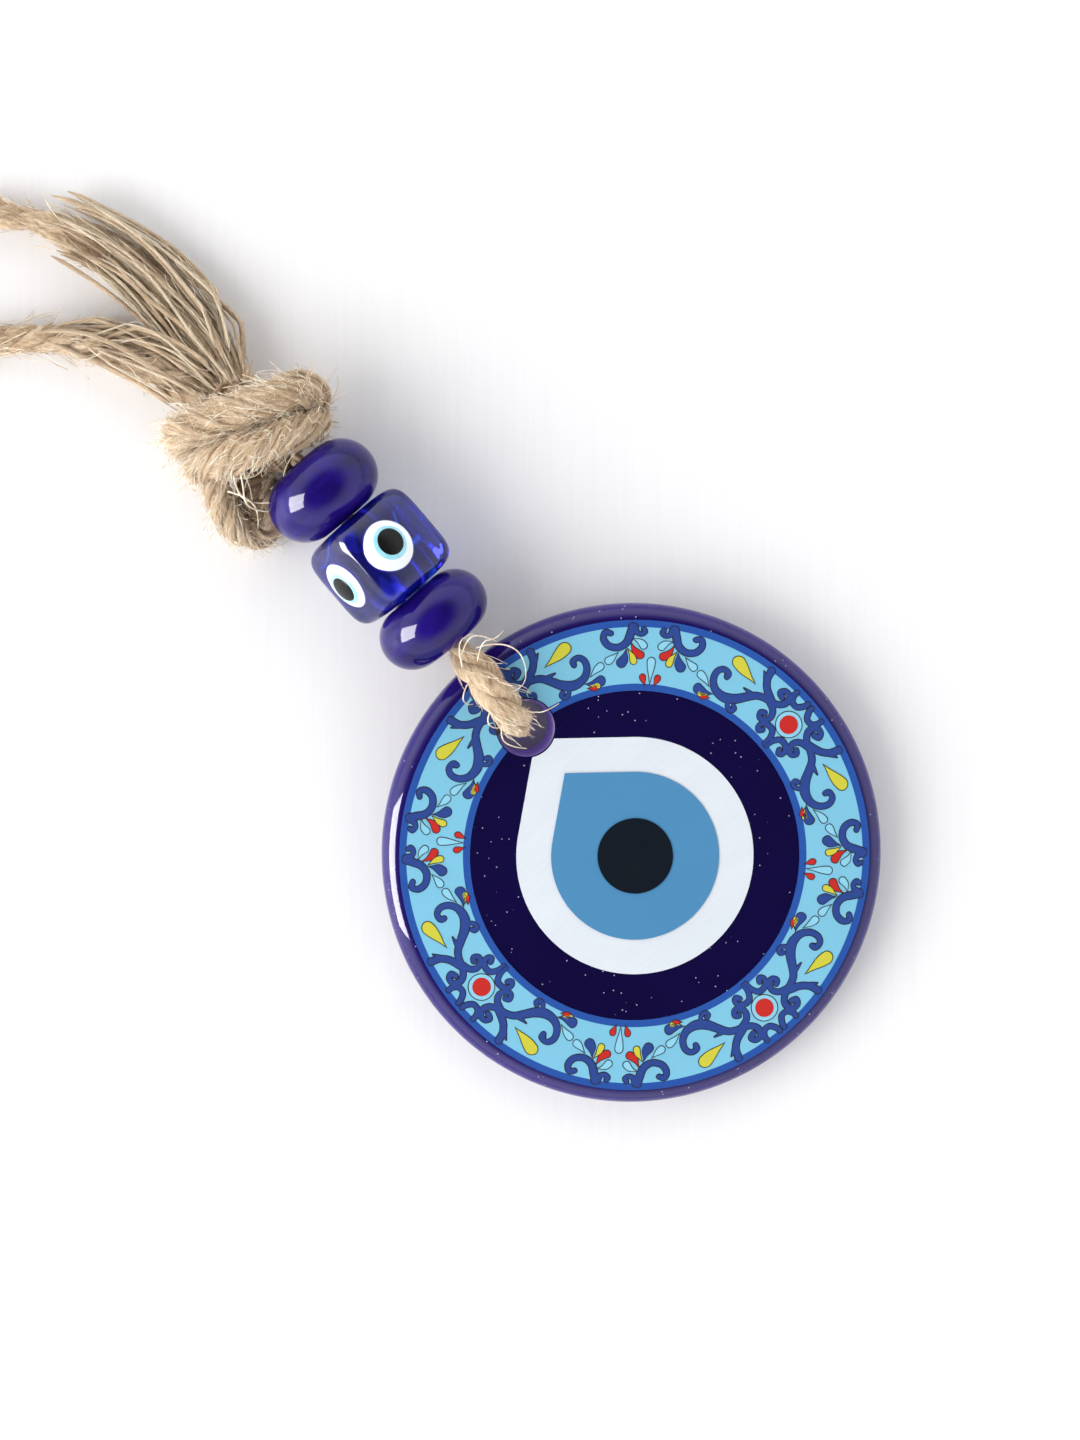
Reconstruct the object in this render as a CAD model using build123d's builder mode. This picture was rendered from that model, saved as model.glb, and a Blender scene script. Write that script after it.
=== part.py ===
from build123d import *
from math import asin, cos, degrees, radians, sin, sqrt, tan
import os

# Evil eye wall hanging, lying on its back: a glass disc on a jute cord with three glass beads.
# Millimetres. +Y runs up the string from the disc to the knot, +Z points up from the table.
# The origin is on the table, in the middle of the plan box of the disc, the beads and the knot.

os.makedirs("parts", exist_ok=True)

# Disc
disc_d = 100.0            # outside diameter
disc_t = 9.0              # thickness
disc_edge_r = 4.0         # rounding of the rim
hole_d = 10.6             # hole for the cord
hole_y = 33.5             # from the disc's centre to the hole's centre
hole_edge_r = 0.7         # rounding of the hole's edges

# Printed ring and painted eye, on the disc's face
print_t = 0.12            # one layer of print
paint_t = 0.15            # one layer of paint
ring_d = 93.6             # outside of the printed ring
ring_inner_d = 65.6       # inside of the printed ring
border_w = 1.4            # plain blue border, at both edges of the ring
dot_angles = (0, 180, 270)  # red dots round the ring, in degrees from +X; the hole takes the fourth
dot_pitch_d = 80.0        # circle through the red dots
dot_d = 3.7
leaf_pitch_d = 85.4       # circle through the yellow leaves
leaf_angle = 19.0         # degrees from each quarter of the ring to the leaves beside it
leaf_length = 6.8
leaf_w = 2.6
white_d = 47.2            # round part of the white drop
blue_d = 33.4             # round part of the blue drop
drop_half_angle = 50.5    # half the angle at a drop's tip
pupil_d = 15.0

# Cord
cord_d = 6.0              # jute cord where it lies free
leg_d = 3.2               # one leg of the cord, squeezed by the beads and the disc
leg_gap = 0.1             # between the two legs inside the beads
loop_clearance = 0.3      # between the cord and the disc all round the bridge
past_print = 0.6          # how far beyond the printed ring the cord starts down to the beads
past_flat = 1.4           # and how far at least beyond the flat of the disc
bend_r = 3.0              # middle of the cord round the bridge's edges
shoulder_r = 1.7          # middle of the cord where it turns into the first bead

# Beads
bore_clearance = 0.25     # between the two legs and a bead's bore
rim_gap = 5.0             # from the disc's rim to the first bead
bead_gap = 0.2            # between neighbours on the cord
knot_gap = 2.8            # from the last bead to the middle of the knot's near side
rondelle_d = 24.0
lower_rondelle_t = 12.9
upper_rondelle_t = 14.7
cube_w = 20.0             # across the flats
cube_l = 19.3             # along the cord
cube_edge_r = 4.6
cube_turn = 26.0          # degrees, how far the cube has turned on the cord
eye_white_d = 10.5
eye_white_h = 0.6
eye_iris_d = 7.0
eye_pupil_d = 5.4
eye_layer_t = 0.15
top_eye_up = 0.6          # the top eye is off the middle of its side: towards the knot
top_eye_aside = 2.2       # and towards -X

# Knot
knot_l = 31.0             # along its long axis, across the string
knot_w = 18.0
knot_h = 21.0
knot_x = -3.5             # its middle, to the side of the string
knot_turn = -22.0         # degrees, its long axis against +X
lobe_l = 21.0             # the small lobe beside the last bead
lobe_w = 10.0
lobe_tuck = 1.49         # how far it goes in under the last bead's rounded end
lobe_gap = 1.5            # its middle, beyond the last bead

# Places worked out from the sizes
disc_r = disc_d / 2
rim_r = min(disc_edge_r, 0.49 * disc_t)
bridge_y = hole_y + hole_d / 2
tilt = degrees(asin((leg_d + 2 * loop_clearance) / (disc_r - rim_r + bridge_y)))
tilt_sin, tilt_cos = sin(radians(tilt)), cos(radians(tilt))
flat_r = disc_r - rim_r
disc_z = flat_r * tilt_sin + (disc_t / 2 - rim_r) * tilt_cos + rim_r
disc_reach = flat_r * tilt_cos + (disc_t / 2 - rim_r) * tilt_sin + rim_r
string_z = rondelle_d / 2
bead_bore_d = 2 * leg_d + leg_gap + 2 * bore_clearance
first_bead = disc_reach + rim_gap
lower_mid = first_bead + lower_rondelle_t / 2
cube_mid = first_bead + lower_rondelle_t + bead_gap + cube_l / 2
upper_mid = cube_mid + cube_l / 2 + bead_gap + upper_rondelle_t / 2
beads_end = upper_mid + upper_rondelle_t / 2
knot_turn_rad = radians(knot_turn)
knot_reach = sqrt((knot_l / 2 * sin(knot_turn_rad)) ** 2 + (knot_w / 2 * cos(knot_turn_rad)) ** 2)
knot_mid = beads_end + knot_gap + knot_w / 2
lobe_x = lobe_tuck - 2 * sqrt(rondelle_d / 2 * lobe_w / 2)      # both lie on the table
string_end = knot_mid + knot_reach
disc_y = -(string_end - disc_reach) / 2

disc_plane = Plane(origin=(0, disc_y, disc_z), x_dir=(1, 0, 0), z_dir=(0, -tilt_sin, tilt_cos))
face_plane = disc_plane.offset(disc_t / 2)
string_axis = Axis((0, 0, string_z), (0, 1, 0))


def on_string(distance):
    # A plane across the string, this far from the disc's centre.
    return Plane(origin=(0, disc_y + distance, string_z), x_dir=(1, 0, 0), z_dir=(0, 1, 0))


def finish(piece, name):
    piece.part.label = name
    export_step(piece.part, f"parts/{name}.step")


# Glass disc
with BuildPart(disc_plane) as glass_disc:
    Cylinder(disc_r, disc_t)
    rims = glass_disc.edges().filter_by(GeomType.CIRCLE)
    fillet(rims, rim_r)
    before_hole = glass_disc.edges()
    with Locations((0, hole_y)):
        Hole(hole_d / 2)
    hole_edges = [e for e in glass_disc.edges() - before_hole if e.geom_type == GeomType.CIRCLE]
    fillet(hole_edges, hole_edge_r)
finish(glass_disc, "glass_disc")


# Printed ring: blue borders at both edges, pale ground between, dots and leaves on the ground
def hole_in_print():
    with Locations((0, hole_y)):
        Circle(hole_d / 2 + hole_edge_r, mode=Mode.SUBTRACT)


ring_bands = {
    "ring_border_outer": (ring_d, ring_d - 2 * border_w),
    "ring_ground": (ring_d - 2 * border_w, ring_inner_d + 2 * border_w),
    "ring_border_inner": (ring_inner_d + 2 * border_w, ring_inner_d),
}
for band_name, (outer_d, inner_d) in ring_bands.items():
    with BuildPart() as band:
        with BuildSketch(face_plane):
            Circle(outer_d / 2)
            Circle(inner_d / 2, mode=Mode.SUBTRACT)
            hole_in_print()
        extrude(amount=print_t)
    finish(band, band_name)

with BuildPart() as ring_dots:
    with BuildSketch(face_plane.offset(print_t)):
        for angle in dot_angles:
            with PolarLocations(dot_pitch_d / 2, 1, start_angle=angle):
                Circle(dot_d / 2)
    extrude(amount=print_t)
finish(ring_dots, "ring_dots")

with BuildPart() as ring_leaves:
    with BuildSketch(face_plane.offset(print_t)):
        for start in (-leaf_angle, leaf_angle):
            with PolarLocations(leaf_pitch_d / 2, 4, start_angle=start):
                Ellipse(leaf_w / 2, leaf_length / 2)
    extrude(amount=print_t)
finish(ring_leaves, "ring_leaves")


# Painted eye: a white drop, a blue drop on it and a black pupil on that
def drop_outline(diameter):
    # A circle with the two straight sides that run from it to a tip on +Y.
    radius = diameter / 2
    tip_y = radius / sin(radians(drop_half_angle))
    side_x = radius * cos(radians(drop_half_angle))
    side_y = radius * sin(radians(drop_half_angle))
    Circle(radius)
    Polygon((-side_x, side_y), (0, tip_y), (side_x, side_y), (0, 0), align=None)


with BuildPart() as white_drop:
    with BuildSketch(face_plane):
        drop_outline(white_d)
        hole_in_print()
    extrude(amount=paint_t)
finish(white_drop, "white_drop")

with BuildPart() as blue_drop:
    with BuildSketch(face_plane.offset(paint_t)):
        drop_outline(blue_d)
    extrude(amount=paint_t)
finish(blue_drop, "blue_drop")

with BuildPart() as pupil:
    with BuildSketch(face_plane.offset(2 * paint_t)):
        Circle(pupil_d / 2)
    extrude(amount=paint_t)
finish(pupil, "pupil")


# Rondelle beads: the outer half of a ring of glass round the bore
def make_rondelle(middle, thickness):
    bulge_r = thickness / 2
    with BuildPart() as bead:
        with BuildSketch(Plane.XY.offset(string_z)):
            with Locations((rondelle_d / 2 - bulge_r, disc_y + middle)):
                Circle(bulge_r)
            with Locations((bead_bore_d / 2, disc_y + middle)):
                Rectangle(rondelle_d, rondelle_d, align=(Align.MIN, Align.CENTER), mode=Mode.INTERSECT)
        revolve(axis=string_axis)
    return bead


finish(make_rondelle(lower_mid, lower_rondelle_t), "lower_rondelle")
finish(make_rondelle(upper_mid, upper_rondelle_t), "upper_rondelle")


# Cube bead, turned on the cord, with an eye of three glass layers on each side
cube_turn_rad = radians(cube_turn)
cube_plane = Plane(
    origin=(0, disc_y + cube_mid, string_z),
    x_dir=(cos(cube_turn_rad), 0, -sin(cube_turn_rad)),
    z_dir=(sin(cube_turn_rad), 0, cos(cube_turn_rad)),
)
with BuildPart(cube_plane) as cube_bead:
    Box(cube_w, cube_l, cube_w)
    fillet(cube_bead.edges(), cube_edge_r)
    with BuildSketch(on_string(cube_mid)):
        Circle(bead_bore_d / 2)
    extrude(amount=cube_l, both=True, mode=Mode.SUBTRACT)
finish(cube_bead, "cube_bead")

for side in range(4):
    lean = radians(cube_turn + side * 90)
    outward = Vector(sin(lean), 0, cos(lean))
    cube_side = Plane(cube_plane.origin + outward * (cube_w / 2), x_dir=(0, 1, 0), z_dir=outward)
    if side == 0:
        cube_side = Plane(cube_side.from_local_coords((top_eye_up, top_eye_aside, 0)), x_dir=(0, 1, 0), z_dir=outward)
    with BuildPart() as eye_white:
        with BuildSketch(cube_side):
            Circle(eye_white_d / 2)
        extrude(amount=eye_white_h)
        outer_face = eye_white.faces().sort_by(Axis(cube_side.origin, outward))[-1]
        fillet(outer_face.edges(), eye_white_h / 2)
    finish(eye_white, f"eye_white_{side + 1}")
    for layer, (layer_name, layer_d) in enumerate((("iris", eye_iris_d), ("pupil", eye_pupil_d))):
        with BuildPart() as eye_layer:
            with BuildSketch(cube_side.offset(eye_white_h + layer * eye_layer_t)):
                Circle(layer_d / 2)
            extrude(amount=eye_layer_t)
        finish(eye_layer, f"eye_{layer_name}_{side + 1}")


# The cord through the beads: two legs, one over the other, squeezed by the bores, into the knot
leg_z = (leg_d + leg_gap) / 2
with BuildPart() as bead_run:
    with BuildSketch(on_string(first_bead)):
        with Locations((0, leg_z), (0, -leg_z)):
            Circle(leg_d / 2)
    extrude(amount=beads_end - first_bead + 2 * knot_gap)
finish(bead_run, "bead_run")


# The cord round the disc's bridge: over the face, down through the hole, and back under the disc
def beside_disc(y, z):
    # A point given on the disc's middle plane, y from its centre and z above that plane.
    return disc_plane.from_local_coords((0, y, z))


clear_of_disc = leg_d / 2 + loop_clearance
in_hole_y = bridge_y - clear_of_disc
over_z = disc_t / 2 + clear_of_disc
shoulder_y = disc_y + disc_reach + clear_of_disc
round_rim_r = rim_r + clear_of_disc
rim_corner = round_rim_r * tan(radians(45 / 2))
rim_z = rim_r - disc_t / 2
turn_in_r = min(shoulder_r, rim_gap - clear_of_disc)
loop_corners = [
    (Vector(0, disc_y + first_bead, string_z + leg_z), 0),
    (Vector(0, shoulder_y, string_z + leg_z), turn_in_r),
    (beside_disc(max(ring_d / 2 + past_print, flat_r + past_flat), over_z), bend_r),
    (beside_disc(in_hole_y, over_z), bend_r),
    (beside_disc(in_hole_y, -over_z), bend_r),
    (beside_disc(flat_r + rim_corner, -over_z), round_rim_r),
    (beside_disc(flat_r + round_rim_r, rim_z - rim_corner), round_rim_r),
    (Vector(0, shoulder_y, string_z - leg_z), turn_in_r),
    (Vector(0, disc_y + first_bead, string_z - leg_z), 0),
]
loop_points = [point for point, radius in loop_corners]


def largest_radii(points, share):
    # The radius of each corner's arc: a share of the shorter run, over the tangent of half the turn.
    radii = []
    for before, corner, after in zip(points, points[1:], points[2:]):
        turn = (corner - before).get_angle(after - corner)
        run = min((corner - before).length, (after - corner).length)
        radii.append(share * run / tan(radians(turn / 2)))
    return radii


def tube(points, radii, diameter):
    with BuildPart() as made:
        with BuildLine():
            route = FilletPolyline(*points, radius=radii)
        with BuildSketch(Plane(route @ 0, z_dir=route % 0)):
            Circle(diameter / 2)
        sweep()
    return made, route.length


loop_radii = [radius for point, radius in loop_corners[1:-1]]
disc_loop, disc_loop_length = tube(loop_points, loop_radii, leg_d)
finish(disc_loop, "disc_loop")

# Knot: a fat wrap across the string and a small lobe beside the last bead
wrap = scale(Sphere(1), by=(knot_l / 2, knot_w / 2, knot_h / 2))
lobe = scale(Sphere(1), by=(lobe_w / 2, lobe_l / 2, lobe_w / 2))
with BuildPart() as knot:
    with Locations(Location((knot_x, disc_y + knot_mid, knot_h / 2), (0, 0, knot_turn))):
        add(wrap)
    with Locations((lobe_x, disc_y + beads_end + lobe_gap, lobe_w / 2)):
        add(lobe)
finish(knot, "knot")

# Hanging loop: the cord lies on the table from the knot, round, and back to the knot.
# Points are from the knot's middle in plan, with the height of the cord's middle.
table_z = cord_d / 2
loop_route = [
    (-0.7, 7.0, 8.0),
    (0.7, 16.8, 5.0),
    (0.9, 26.5, table_z),
    (0.3, 39.7, table_z),
    (-4.4, 54.1, table_z),
    (-13.6, 67.1, table_z),
    (-25.3, 76.5, table_z),
    (-38.4, 81.0, table_z),
    (-50.5, 77.0, table_z),
    (-54.0, 65.0, table_z),
    (-45.5, 55.2, table_z),
    (-32.0, 48.2, table_z),
    (-20.4, 39.4, table_z),
    (-13.6, 30.0, table_z),
    (-9.2, 20.0, 5.0),
    (-6.5, 9.4, 8.0),
]
cord_points = [Vector(x, disc_y + knot_mid + y, z) for x, y, z in loop_route]
cord_radii = largest_radii(cord_points, 0.45)
hanging_loop, hanging_loop_length = tube(cord_points, cord_radii, cord_d)
finish(hanging_loop, "hanging_loop")

for tube_name, made, length, diameter, radii in (
    ("disc_loop", disc_loop, disc_loop_length, leg_d, loop_radii),
    ("hanging_loop", hanging_loop, hanging_loop_length, cord_d, cord_radii),
):
    section = 3.141593 * diameter ** 2 / 4
    print(f"{tube_name}: {length:.1f} mm long, volume {made.part.volume / (section * length):.4f} of section x length")
    print("   radii", " ".join(f"{r:.1f}" for r in radii))
print(f"tilt {tilt:.2f}, disc centre y {disc_y:.3f} z {disc_z:.3f}, disc reach {disc_reach:.3f}")
print(f"beads at {lower_mid:.2f}, {cube_mid:.2f}, {upper_mid:.2f}, knot {knot_mid:.2f}, end {string_end:.2f}")
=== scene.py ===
import math

import bmesh
import bpy
import numpy as np
from mathutils import Matrix, Vector


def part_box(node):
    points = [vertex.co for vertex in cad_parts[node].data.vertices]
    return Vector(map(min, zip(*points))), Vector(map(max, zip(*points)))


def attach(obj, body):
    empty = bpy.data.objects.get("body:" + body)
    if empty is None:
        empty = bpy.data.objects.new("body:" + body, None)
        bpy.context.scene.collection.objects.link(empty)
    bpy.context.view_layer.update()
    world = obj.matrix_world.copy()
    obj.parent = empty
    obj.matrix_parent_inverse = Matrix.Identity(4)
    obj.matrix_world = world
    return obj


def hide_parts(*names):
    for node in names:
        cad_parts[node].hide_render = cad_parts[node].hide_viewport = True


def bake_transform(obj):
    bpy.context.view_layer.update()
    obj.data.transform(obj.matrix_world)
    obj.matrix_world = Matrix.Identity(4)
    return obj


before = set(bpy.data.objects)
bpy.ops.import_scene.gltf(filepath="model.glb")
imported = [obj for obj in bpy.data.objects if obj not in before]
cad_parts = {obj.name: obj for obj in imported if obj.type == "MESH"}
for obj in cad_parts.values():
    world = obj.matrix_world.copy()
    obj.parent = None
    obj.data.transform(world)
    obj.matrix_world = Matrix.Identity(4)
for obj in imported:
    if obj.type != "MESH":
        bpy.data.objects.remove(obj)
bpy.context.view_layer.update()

# ---------------------------------------------------------------------------
# Places, from the frame. Sizes below are millimetres, turned into metres with MM.
# ---------------------------------------------------------------------------
MM = 0.001


def middle(node):
    low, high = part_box(node)
    return (Vector(low) + Vector(high)) / 2


disc_mid = middle("glass_disc")
face_out = (middle("pupil") - disc_mid).normalized()
face_up = face_out.cross(Vector((1, 0, 0)))
cube_mid = middle("cube_bead")
lower_mid = middle("lower_rondelle")
upper_mid = middle("upper_rondelle")
string_z = lower_mid.z
cube_top = (middle("eye_white_2") - cube_mid).normalized().cross(Vector((0, 1, 0)))

DISC_R, DISC_T, DISC_EDGE = 50.0, 9.0, 4.0
HOLE_Y, HOLE_R, HOLE_EDGE = 33.5, 5.3, 0.7
PRINT_T = 0.12
RING_MID = 40.0
RONDELLE_R, BORE_R = 12.0, 3.5
CUBE_HALF, CUBE_HALF_L, CUBE_POWER = 10.0, 9.65, 5.5
EYE_R, EYE_RISE, IRIS_R, EYE_PUPIL_R = 5.4, 1.3, 3.65, 2.85

face_matrix = Matrix((
    (1, face_up.x, face_out.x, disc_mid.x / MM),
    (0, face_up.y, face_out.y, disc_mid.y / MM),
    (0, face_up.z, face_out.z, disc_mid.z / MM),
    (0, 0, 0, 1),
))


def on_disc(x, y, z):
    """A point in metres from millimetres on the disc: z is the height over its middle plane."""
    return (face_matrix @ Vector((x, y, z))) * MM


def by_string(x, along, z):
    """A point in metres from millimetres: along is up the string from the disc's middle, z over the table."""
    return Vector((x * MM, disc_mid.y + along * MM, z * MM))


# ---------------------------------------------------------------------------
# Shader maths: a Value wraps a socket, so that an expression adds its own nodes
# ---------------------------------------------------------------------------
class Value:
    def __init__(self, finish, socket):
        self.finish, self.socket = finish, socket

    def maths(self, operation, *others):
        numbers = dict(enumerate((self, *others)))
        return self.finish.node("ShaderNodeMath", {"operation": operation}, numbers)

    def __add__(self, other):
        return self.maths("ADD", other)

    def __sub__(self, other):
        return self.maths("SUBTRACT", other)

    def __rsub__(self, other):
        return self.finish.node("ShaderNodeMath", {"operation": "SUBTRACT"}, {0: other, 1: self})

    def __mul__(self, other):
        return self.maths("MULTIPLY", other)

    def __pow__(self, other):
        return self.maths("POWER", other)

    def __gt__(self, other):
        return self.maths("GREATER_THAN", other)

    def __lt__(self, other):
        return self.maths("LESS_THAN", other)

    __radd__ = __add__
    __rmul__ = __mul__


class Finish:
    """A material, or the world, under construction."""

    def __init__(self, name, owner=None, shader="Principled BSDF", **constants):
        self.material = owner or bpy.data.materials.new(name)
        self.material.use_nodes = True
        self.tree = self.material.node_tree
        self.shader = self.tree.nodes[shader]
        self.set(**constants)

    def put(self, socket, value):
        if isinstance(value, Value):
            self.tree.links.new(value.socket, socket)
        elif socket.type == "RGBA" and len(value) == 3:
            socket.default_value = (*value, 1)
        else:
            socket.default_value = value

    def node(self, kind, settings=None, values=None, out=0):
        made = self.tree.nodes.new(kind)
        for key, value in (settings or {}).items():
            if key == "stops":
                ramp = made.color_ramp.elements
                while len(ramp) < len(value):
                    ramp.new(0.5)
                for stop, (place, colour) in zip(ramp, value):
                    stop.position = place
                    stop.color = (*colour, 1)
            else:
                setattr(made, key, value)
        for key, value in (values or {}).items():
            self.put(made.inputs[key], value)
        return Value(self, made.outputs[out])

    def set(self, **sockets):
        for key, value in sockets.items():
            self.put(self.shader.inputs[key.replace("_", " ")], value)

    def place(self):
        return self.node("ShaderNodeTexCoord", out="Object")

    def noise(self, where, scale, detail=3.0, roughness=0.55, out="Fac", **more):
        values = {"Vector": where, "Scale": scale, "Detail": detail, "Roughness": roughness}
        return self.node("ShaderNodeTexNoise", more, values, out)

    def ramp(self, amount, stops):
        return self.node("ShaderNodeValToRGB", {"stops": stops}, {"Fac": amount})

    def blend(self, amount, first, second):
        return self.node("ShaderNodeMix", {"data_type": "RGBA"}, {0: amount, 6: first, 7: second}, 2)

    def vector(self, operation, first, second, out=0):
        return self.node("ShaderNodeVectorMath", {"operation": operation}, {0: first, 1: second}, out)

    def fade(self, amount, start, end, first, last, **more):
        """From first to last while the amount goes from start to end."""
        values = {"Value": amount, "From Min": start, "From Max": end, "To Min": first, "To Max": last}
        return self.node("ShaderNodeMapRange", more, values)

    def stretch(self, where, scale):
        return self.vector("MULTIPLY", where, scale)

    def bump(self, height, strength, distance):
        values = {"Strength": strength, "Distance": distance, "Height": height}
        return self.node("ShaderNodeBump", None, values)


def disc_coordinates(finish):
    """Distances over the disc's face, in metres: across the string, up the string, and from the middle."""
    from_middle = finish.vector("SUBTRACT", finish.place(), tuple(disc_mid))
    across = finish.vector("DOT_PRODUCT", from_middle, (1, 0, 0), "Value")
    up = finish.vector("DOT_PRODUCT", from_middle, tuple(face_up), "Value")
    radius = (across ** 2.0 + up ** 2.0) ** 0.5
    return across, up, radius


# ---------------------------------------------------------------------------
# Finishes
# ---------------------------------------------------------------------------
def cobalt_glass():
    """Cast disc: nearly opaque navy, violet blue where it thins at the rim, tiny seeds, and a matt hole with
    painted violet light in it.
    """
    finish = Finish("cobalt glass", IOR=1.45, Transmission_Weight=0.45, Specular_IOR_Level=0.32)
    across, up, radius = disc_coordinates(finish)
    rim = finish.fade(radius, 45.0 * MM, DISC_R * MM, 0.0, 1.0)
    cloud = finish.noise(finish.place(), 60.0, 4.0)
    deep = finish.blend(cloud, (0.0040, 0.0010, 0.046), (0.0080, 0.0025, 0.078))
    rim_tone = finish.blend(cloud, (0.018, 0.005, 0.170), (0.044, 0.018, 0.330))
    glass = finish.blend(rim, deep, rim_tone)
    seeds = finish.node("ShaderNodeTexVoronoi", None, {"Vector": finish.place(), "Scale": 700.0})
    chance = finish.noise(finish.place(), 110.0, 2.0)
    seed_mask = (seeds < 0.09) * (chance > 0.46)
    glass = finish.blend(seed_mask * 0.9, glass, (0.75, 0.78, 0.92))
    # ground marks the hole and a thin band round it. There violet light is painted with streaks, standing for
    # the table lit through the blue glass and seen down the hole. The hole is also matt there.
    from_hole = (across ** 2.0 + (up - HOLE_Y * MM) ** 2.0) ** 0.5
    ground = from_hole < (HOLE_R + 0.45) * MM
    hole_light_streaks = finish.noise(finish.stretch(finish.place(), (1.0, 1.0, 9.0)), 700.0, 3.0)
    painted_hole_light = finish.blend(hole_light_streaks, (0.030, 0.014, 0.090), (0.120, 0.075, 0.230))
    finish.set(Base_Color=finish.blend(ground, glass, painted_hole_light), Roughness=0.04 + 0.5 * ground)
    # the light that comes through the glass into the hole
    finish.set(Emission_Color=finish.blend(ground, (0, 0, 0), (0.050, 0.030, 0.150)), Emission_Strength=1.0)
    ripple = finish.noise(finish.place(), 45.0, 2.0)
    finish.set(Normal=finish.bump(ripple, 0.10, 0.4 * MM))
    return finish.material


def bead_glass():
    """Pressed rondelles: dense cobalt with slow clouds and fine pits."""
    finish = Finish("bead glass", IOR=1.45, Transmission_Weight=0.25, Specular_IOR_Level=0.22)
    cloud = finish.noise(finish.place(), 90.0, 3.0)
    swirl = finish.noise(finish.stretch(finish.place(), (1.0, 4.0, 1.0)), 120.0, 3.0)
    tone = cloud * 0.6 + swirl * 0.4
    finish.set(Base_Color=finish.ramp(tone, [(0.35, (0.006, 0.002, 0.075)), (0.65, (0.020, 0.006, 0.215))]))
    pits = finish.noise(finish.place(), 900.0, 2.0)
    finish.set(Normal=finish.bump(pits, 0.03, 0.1 * MM), Roughness=0.03 + 0.05 * cloud)
    return finish.material


def clear_cobalt_glass():
    """The cube's glass: clear enough to show its bore."""
    finish = Finish("clear cobalt glass", Roughness=0.02, IOR=1.48, Transmission_Weight=0.85,
                    Specular_IOR_Level=0.28)
    cloud = finish.noise(finish.place(), 120.0, 3.0)
    finish.set(Base_Color=finish.blend(cloud, (0.006, 0.005, 0.200), (0.012, 0.016, 0.340)))
    # light gathered by the bore and the corners: a few bright curved streaks
    fold = finish.noise(finish.place(), 62.0, 1.0)
    streak = finish.fade((fold - 0.5).maths("ABSOLUTE"), 0.0, 0.016, 1.0, 0.0)
    some = finish.noise(finish.place(), 105.0, 1.0) > 0.52
    finish.set(Emission_Color=finish.blend(streak * some, (0, 0, 0), (0.006, 0.045, 0.420)))
    finish.set(Emission_Strength=1.0)
    swirl = finish.noise(finish.place(), 160.0, 2.0)
    finish.set(Normal=finish.bump(swirl, 0.05, 0.3 * MM))
    return finish.material


def printed(name, colour, shade):
    """Transfer print: ink with a fine dot grain under a gloss coat."""
    finish = Finish(name, IOR=1.45, Coat_Weight=0.3, Coat_Roughness=0.04)
    grain = finish.noise(finish.place(), 2600.0, 2.0)
    wash = finish.noise(finish.place(), 45.0, 3.0)
    finish.set(Base_Color=finish.blend(grain * 0.45 + wash * 0.55, colour, shade))
    finish.set(Roughness=0.28 + 0.1 * grain, Normal=finish.bump(grain, 0.05, 0.05 * MM))
    return finish.material


def brushed_paint(name, colour, shade, strength=0.16):
    """Enamel laid on with a brush: faint bristle lines across the string, slightly uneven gloss."""
    finish = Finish(name, IOR=1.45, Coat_Weight=0.08, Coat_Roughness=0.08, Specular_IOR_Level=0.22)
    across, up, _ = disc_coordinates(finish)
    where = finish.node("ShaderNodeCombineXYZ", None, {"X": across * 0.35 + up * 0.2, "Y": up, "Z": 0.0})
    lines = finish.noise(finish.stretch(where, (0.25, 1.6, 1.0)), 1900.0, 3.0, 0.6)
    patches = finish.noise(where, 120.0, 3.0)
    finish.set(Base_Color=finish.blend(lines * 0.5 + patches * 0.5, colour, shade))
    finish.set(Roughness=0.25 + 0.2 * lines, Normal=finish.bump(lines, strength, 0.08 * MM))
    return finish.material


def drop_glass(name, colour, shade, shine=0.35):
    """Opaque glass dropped on hot: smooth, with faint clouds of mixed colour."""
    finish = Finish(name, Roughness=0.06, IOR=1.5, Specular_IOR_Level=shine)
    cloud = finish.noise(finish.place(), 500.0, 3.0)
    finish.set(Base_Color=finish.blend(cloud, colour, shade))
    finish.set(Normal=finish.bump(finish.noise(finish.place(), 350.0, 1.0), 0.08, 0.1 * MM))
    return finish.material


def jute(name, dark, mid, light):
    """Spun jute: long fibres along the yarn, light and dark, hairy and matt. It reads the yarn's own UV."""
    finish = Finish(name, Roughness=0.92, Specular_IOR_Level=0.2, Sheen_Weight=0.25, Sheen_Roughness=0.5)
    uv = finish.node("ShaderNodeUVMap", {"uv_map": "UVMap"})
    fibre = finish.noise(finish.stretch(uv, (26.0, 2.2, 1.0)), 1.0, 4.0, 0.7)
    strand = finish.noise(finish.stretch(uv, (9.0, 0.9, 1.0)), 1.0, 3.0, 0.6)
    patch = finish.noise(finish.place(), 130.0, 3.0)
    tone = fibre * 0.55 + strand * 0.30 + patch * 0.25
    finish.set(Base_Color=finish.ramp(tone, [(0.38, dark), (0.53, mid), (0.72, light)]))
    finish.set(Normal=finish.bump(fibre * 0.7 + strand * 0.6, 0.9, 0.35 * MM))
    return finish.material


def hair_finish(name, dark, light):
    """Loose jute fibres: one tone each, from brown to nearly white."""
    finish = Finish(name, Roughness=0.7, Specular_IOR_Level=0.35, Sheen_Weight=0.3)
    tone = finish.noise(finish.place(), 420.0, 2.0)
    finish.set(Base_Color=finish.ramp(tone, [(0.38, dark), (0.62, light)]))
    return finish.material


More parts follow.
